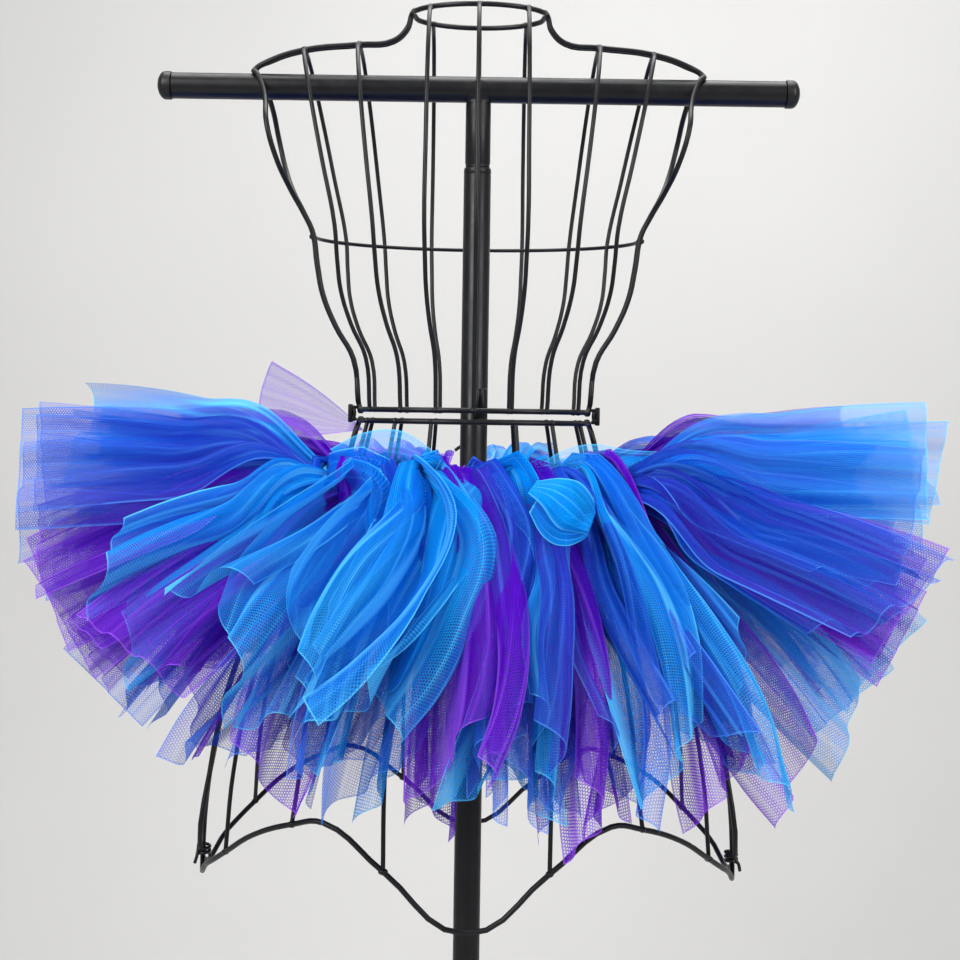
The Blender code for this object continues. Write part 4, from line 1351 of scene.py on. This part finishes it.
def add_tail(shape, form):
    """A gathered tail of tulle from its knot to its cut end."""
    made = bmesh.ops.create_grid(shape, x_segments=TAIL_COLUMNS, y_segments=TAIL_ROWS, size=1.0)["verts"]
    cut = shape.loops.layers.uv["cut"]
    on_edge, layers = shape.verts.layers.float["on_edge"], shape.verts.layers.float["layers"]
    creases, tint = shape.verts.layers.float["creases"], shape.verts.layers.float["tint"]
    line = tail_line(form)
    sections = [gathered_section(form, row / TAIL_ROWS, line[row][4]) for row in range(TAIL_ROWS + 1)]
    seed = form["seed"]
    flat_place = {}
    for vert in made:
        column = round((vert.co.x + 1) / 2 * TAIL_COLUMNS)
        row = round((vert.co.y + 1) / 2 * TAIL_ROWS)
        share = row / TAIL_ROWS
        u = column / TAIL_COLUMNS
        middle, forward, sideways, normal, _ = line[row]
        x, y, edge, layer = sections[row][column]
        y += 0.009 * share * math.sin(4.2 * share + seed) * (1 - (2 * u - 1) ** 2)
        lean = math.radians(form["roll"] * min(1.0, 2.2 * share) + form["twist"] * share**2)
        lay = sideways * math.cos(lean) + normal * math.sin(lean)
        stand = normal * math.cos(lean) - sideways * math.sin(lean)
        longer = form["slant"] * (u - 0.5) * CUT_WIDTH * share
        vert.co = middle + lay * x + stand * y + forward * longer
        vert[on_edge] = edge
        vert[layers] = layer * (1.08 - 0.46 * share**2)
        vert[creases] = crease_at(u, share, seed)
        vert[tint] = tint_at(u, share, seed)
        flat_place[vert] = (u * CUT_WIDTH, (1 - share) * form["length"])
    for vert in made:
        for loop in vert.link_loops:
            loop[cut].uv = flat_place[vert]


def add_knot(shape, number):
    """The gathered loop of a strip round the band, pulled tight in a knot in front of it."""
    cut = shape.loops.layers.uv["cut"]
    on_edge, layers = shape.verts.layers.float["on_edge"], shape.verts.layers.float["layers"]
    bearing = FIRST_BEARING + number * 360.0 / STRIP_COUNT
    _, outward, along = band_place(bearing, ROOT_Z)
    tails = set(shape.verts)
    round_section = bmesh.ops.create_circle(shape, segments=KNOT_SIDES, radius=1.0)["verts"]
    bmesh.ops.spin(
        shape,
        geom=round_section + edges_of(shape, round_section),
        cent=(KNOT_RING, 0.0, 0.0),
        axis=(0.0, 1.0, 0.0),
        angle=2 * math.pi,
        steps=KNOT_ROWS,
        use_merge=True,
    )
    half_height = (BAND_TOP_Z - BAND_LOW_Z) / 2 + KNOT_OVER
    for vert in shape.verts:
        if vert in tails:
            continue
        turn = math.pi - math.atan2(vert.co.z, vert.co.x - KNOT_RING)
        out = math.hypot(vert.co.z, vert.co.x - KNOT_RING) - KNOT_RING
        angle = math.atan2(out, vert.co.y)
        front = max(0.0, math.cos(turn))
        z = (BAND_TOP_Z + BAND_LOW_Z) / 2 + half_height * math.sin(turn)
        place, _, _ = band_place(bearing, z)
        reach = (BAND_WALL / 2 + 0.0018 + 0.0018 * front) * math.cos(turn)
        middle = place + outward * (reach - BAND_WALL / 2)
        ridge = 1 + 0.16 * math.sin(5 * angle + number) + 0.08 * math.sin(9 * angle + 2 * turn)
        around = Vector((0, 0, 1)) * math.sin(turn) + outward * math.cos(turn)
        wide = (0.0055 - 0.0012 * front**3) * ridge * math.cos(angle)
        thick = (0.0010 + 0.0016 * front) * ridge * math.sin(angle)
        vert.co = middle + along * wide + around * thick
        vert[on_edge] = 0.5
        vert[layers] = KNOT_LAYERS
        for loop in vert.link_loops:
            loop[cut].uv = (0.05 + 0.02 * math.sin(angle), 0.34 + 0.01 * turn)


def new_cloth():
    """An empty shape with the layers that the tulle's finish reads."""
    shape = bmesh.new()
    shape.loops.layers.uv.new("cut")
    shape.verts.layers.float.new("on_edge")
    shape.verts.layers.float.new("layers")
    shape.verts.layers.float.new("creases")
    shape.verts.layers.float.new("tint")
    return shape


def add_seen_sheet(shape, rows, length, cover):
    """A sheet through rows of left, middle and right points of the front view with their depths."""
    made = bmesh.ops.create_grid(shape, x_segments=END_COLUMNS, y_segments=END_ROWS, size=1.0)["verts"]
    cut = shape.loops.layers.uv["cut"]
    floats = shape.verts.layers.float
    knots = []
    for index, row in enumerate(rows):
        places = [seen(*point) for point in row]
        knots.append((index / (len(rows) - 1), *places[0], *places[1], *places[2]))
    flat_place = {}
    for vert in made:
        u = (vert.co.x + 1) / 2
        share = (vert.co.y + 1) / 2
        values = [hermite(knots, share, column) for column in range(1, 10)]
        left, middle, right = (Vector(values[at : at + 3]) for at in (0, 3, 6))
        arch = 4 * u * (1 - u)
        chord = left + (right - left) * u
        place = chord + (middle - (left + right) / 2) * arch
        place.y += 0.0016 * share * math.sin(17.0 * u + 4.0 * share)
        vert.co = place
        # Near its side edges the sheet gets the painted highlight of a rim.
        from_side = min(u, 1 - u) * END_COLUMNS
        vert[floats["on_edge"]] = max(0.0, 1 - 0.06 * from_side**2)
        vert[floats["layers"]] = cover * (1.0 + 2.5 * max(0.0, 1 - 6 * share))
        vert[floats["creases"]] = crease_at(u * 0.6, share, 3.0)
        vert[floats["tint"]] = 0.25 * arch * share
        flat_place[vert] = (u * CUT_WIDTH, (1 - share) * length)
    for vert in made:
        for loop in vert.link_loops:
            loop[cut].uv = flat_place[vert]


def build_curls():
    for name, node, finish, rows, flat, cover in CURLS:
        shape = new_cloth()
        add_seen_sheet(shape, rows, flat[1], cover)
        curl = piece(name, mesh_of(shape, name), finish, *node)


def build_strips():
    for number in range(STRIP_COUNT):
        shape = new_cloth()
        for side in range(4):
            add_tail(shape, tail_form(number, side))
        add_knot(shape, number)
        name = f"tied_strip_{number + 1:02d}"
        finish = TULLE_NAMES[STRIP_COLOURS[number]]
        strip = piece(name, mesh_of(shape, name), finish, f"tulle_strip_{number + 1:02d}")


def plain_material(name, colour, rough):
    made, graph, shader = new_material(name)
    place = graph.node("ShaderNodeTexCoord").outputs["Object"]
    grain = graph.node("ShaderNodeTexNoise", {"Vector": place, "Scale": 3.0, "Detail": 4.0}).outputs["Fac"]
    darker = tuple(0.94 * c for c in colour)
    graph.feed(shader.inputs["Base Color"], graph.mix(grain, (*darker, 1.0), (*colour, 1.0)))
    shader.inputs["Roughness"].default_value = rough
    # The paper can be seen through from behind, so that the skirt's back shows as well.
    behind = graph.node("ShaderNodeNewGeometry").outputs["Backfacing"]
    graph.feed(shader.inputs["Alpha"], graph.math("SUBTRACT", 1.0, behind))
    return made


def build_stage():
    """A pale floor that curves up into a plain pale wall."""
    shape = bmesh.new()
    radius, depth, height, half, start = SWEEP
    profile = [(start, 0.0), (depth - radius, 0.0)]
    for degrees in range(10, 91, 10):
        turn = math.radians(degrees)
        profile.append((depth - radius + radius * math.sin(turn), radius - radius * math.cos(turn)))
    profile.append((depth, height))
    verts = [shape.verts.new((-half, y, z)) for y, z in profile]
    edges = [shape.edges.new(pair) for pair in zip(verts, verts[1:])]
    moved = bmesh.ops.extrude_edge_only(shape, edges=edges)
    new = [item for item in moved["geom"] if isinstance(item, bmesh.types.BMVert)]
    bmesh.ops.translate(shape, vec=(2 * half, 0.0, 0.0), verts=new)
    bmesh.ops.recalc_face_normals(shape, faces=shape.faces)
    shape.faces.ensure_lookup_table()
    if shape.faces[0].normal.z < 0:
        bmesh.ops.reverse_faces(shape, faces=shape.faces)
    mesh = mesh_of(shape, "studio_sweep")
    sweep = bpy.data.objects.new("studio_sweep", mesh)
    mesh.materials.append(plain_material("pale studio paper", PAPER, PAPER_ROUGH))
    bpy.context.scene.collection.objects.link(sweep)


def area_light(name, place, aim, size, power):
    lamp = bpy.data.lights.new(name, "AREA")
    lamp.shape = "RECTANGLE"
    lamp.size, lamp.size_y = size
    lamp.energy = power
    holder = bpy.data.objects.new(name, lamp)
    holder.location = place
    holder.rotation_euler = (Vector(aim) - Vector(place)).to_track_quat("-Z", "Y").to_euler()
    bpy.context.scene.collection.objects.link(holder)


def build_light():
    world = bpy.data.worlds.new("soft room")
    world.use_nodes = True
    background = world.node_tree.nodes["Background"]
    background.inputs["Color"].default_value = ROOM_COLOUR
    background.inputs["Strength"].default_value = ROOM_STRENGTH
    bpy.context.scene.world = world
    for row in LIGHTS:
        area_light(*row)


def build_camera():
    lens = bpy.data.cameras.new("front camera")
    lens.lens = CAMERA_LENS
    lens.sensor_width = SENSOR
    camera = bpy.data.objects.new("front camera", lens)
    look = Matrix.Rotation(math.radians(90 + CAMERA_PITCH), 4, "X")
    roll = Matrix.Rotation(math.radians(CAMERA_ROLL), 4, "Z")
    camera.matrix_world = Matrix.Translation(CAMERA_PLACE) @ look @ roll
    bpy.context.scene.collection.objects.link(camera)
    bpy.context.scene.camera = camera


build_camera()
FINISHES = build_materials()
build_form()
build_fittings()
build_stand()
build_band()
build_strips()
build_curls()
build_stage()
build_light()

# Light passes through many layers of net.
bpy.context.scene.cycles.transparent_max_bounces = 6
bpy.context.scene.view_settings.view_transform = "Standard"
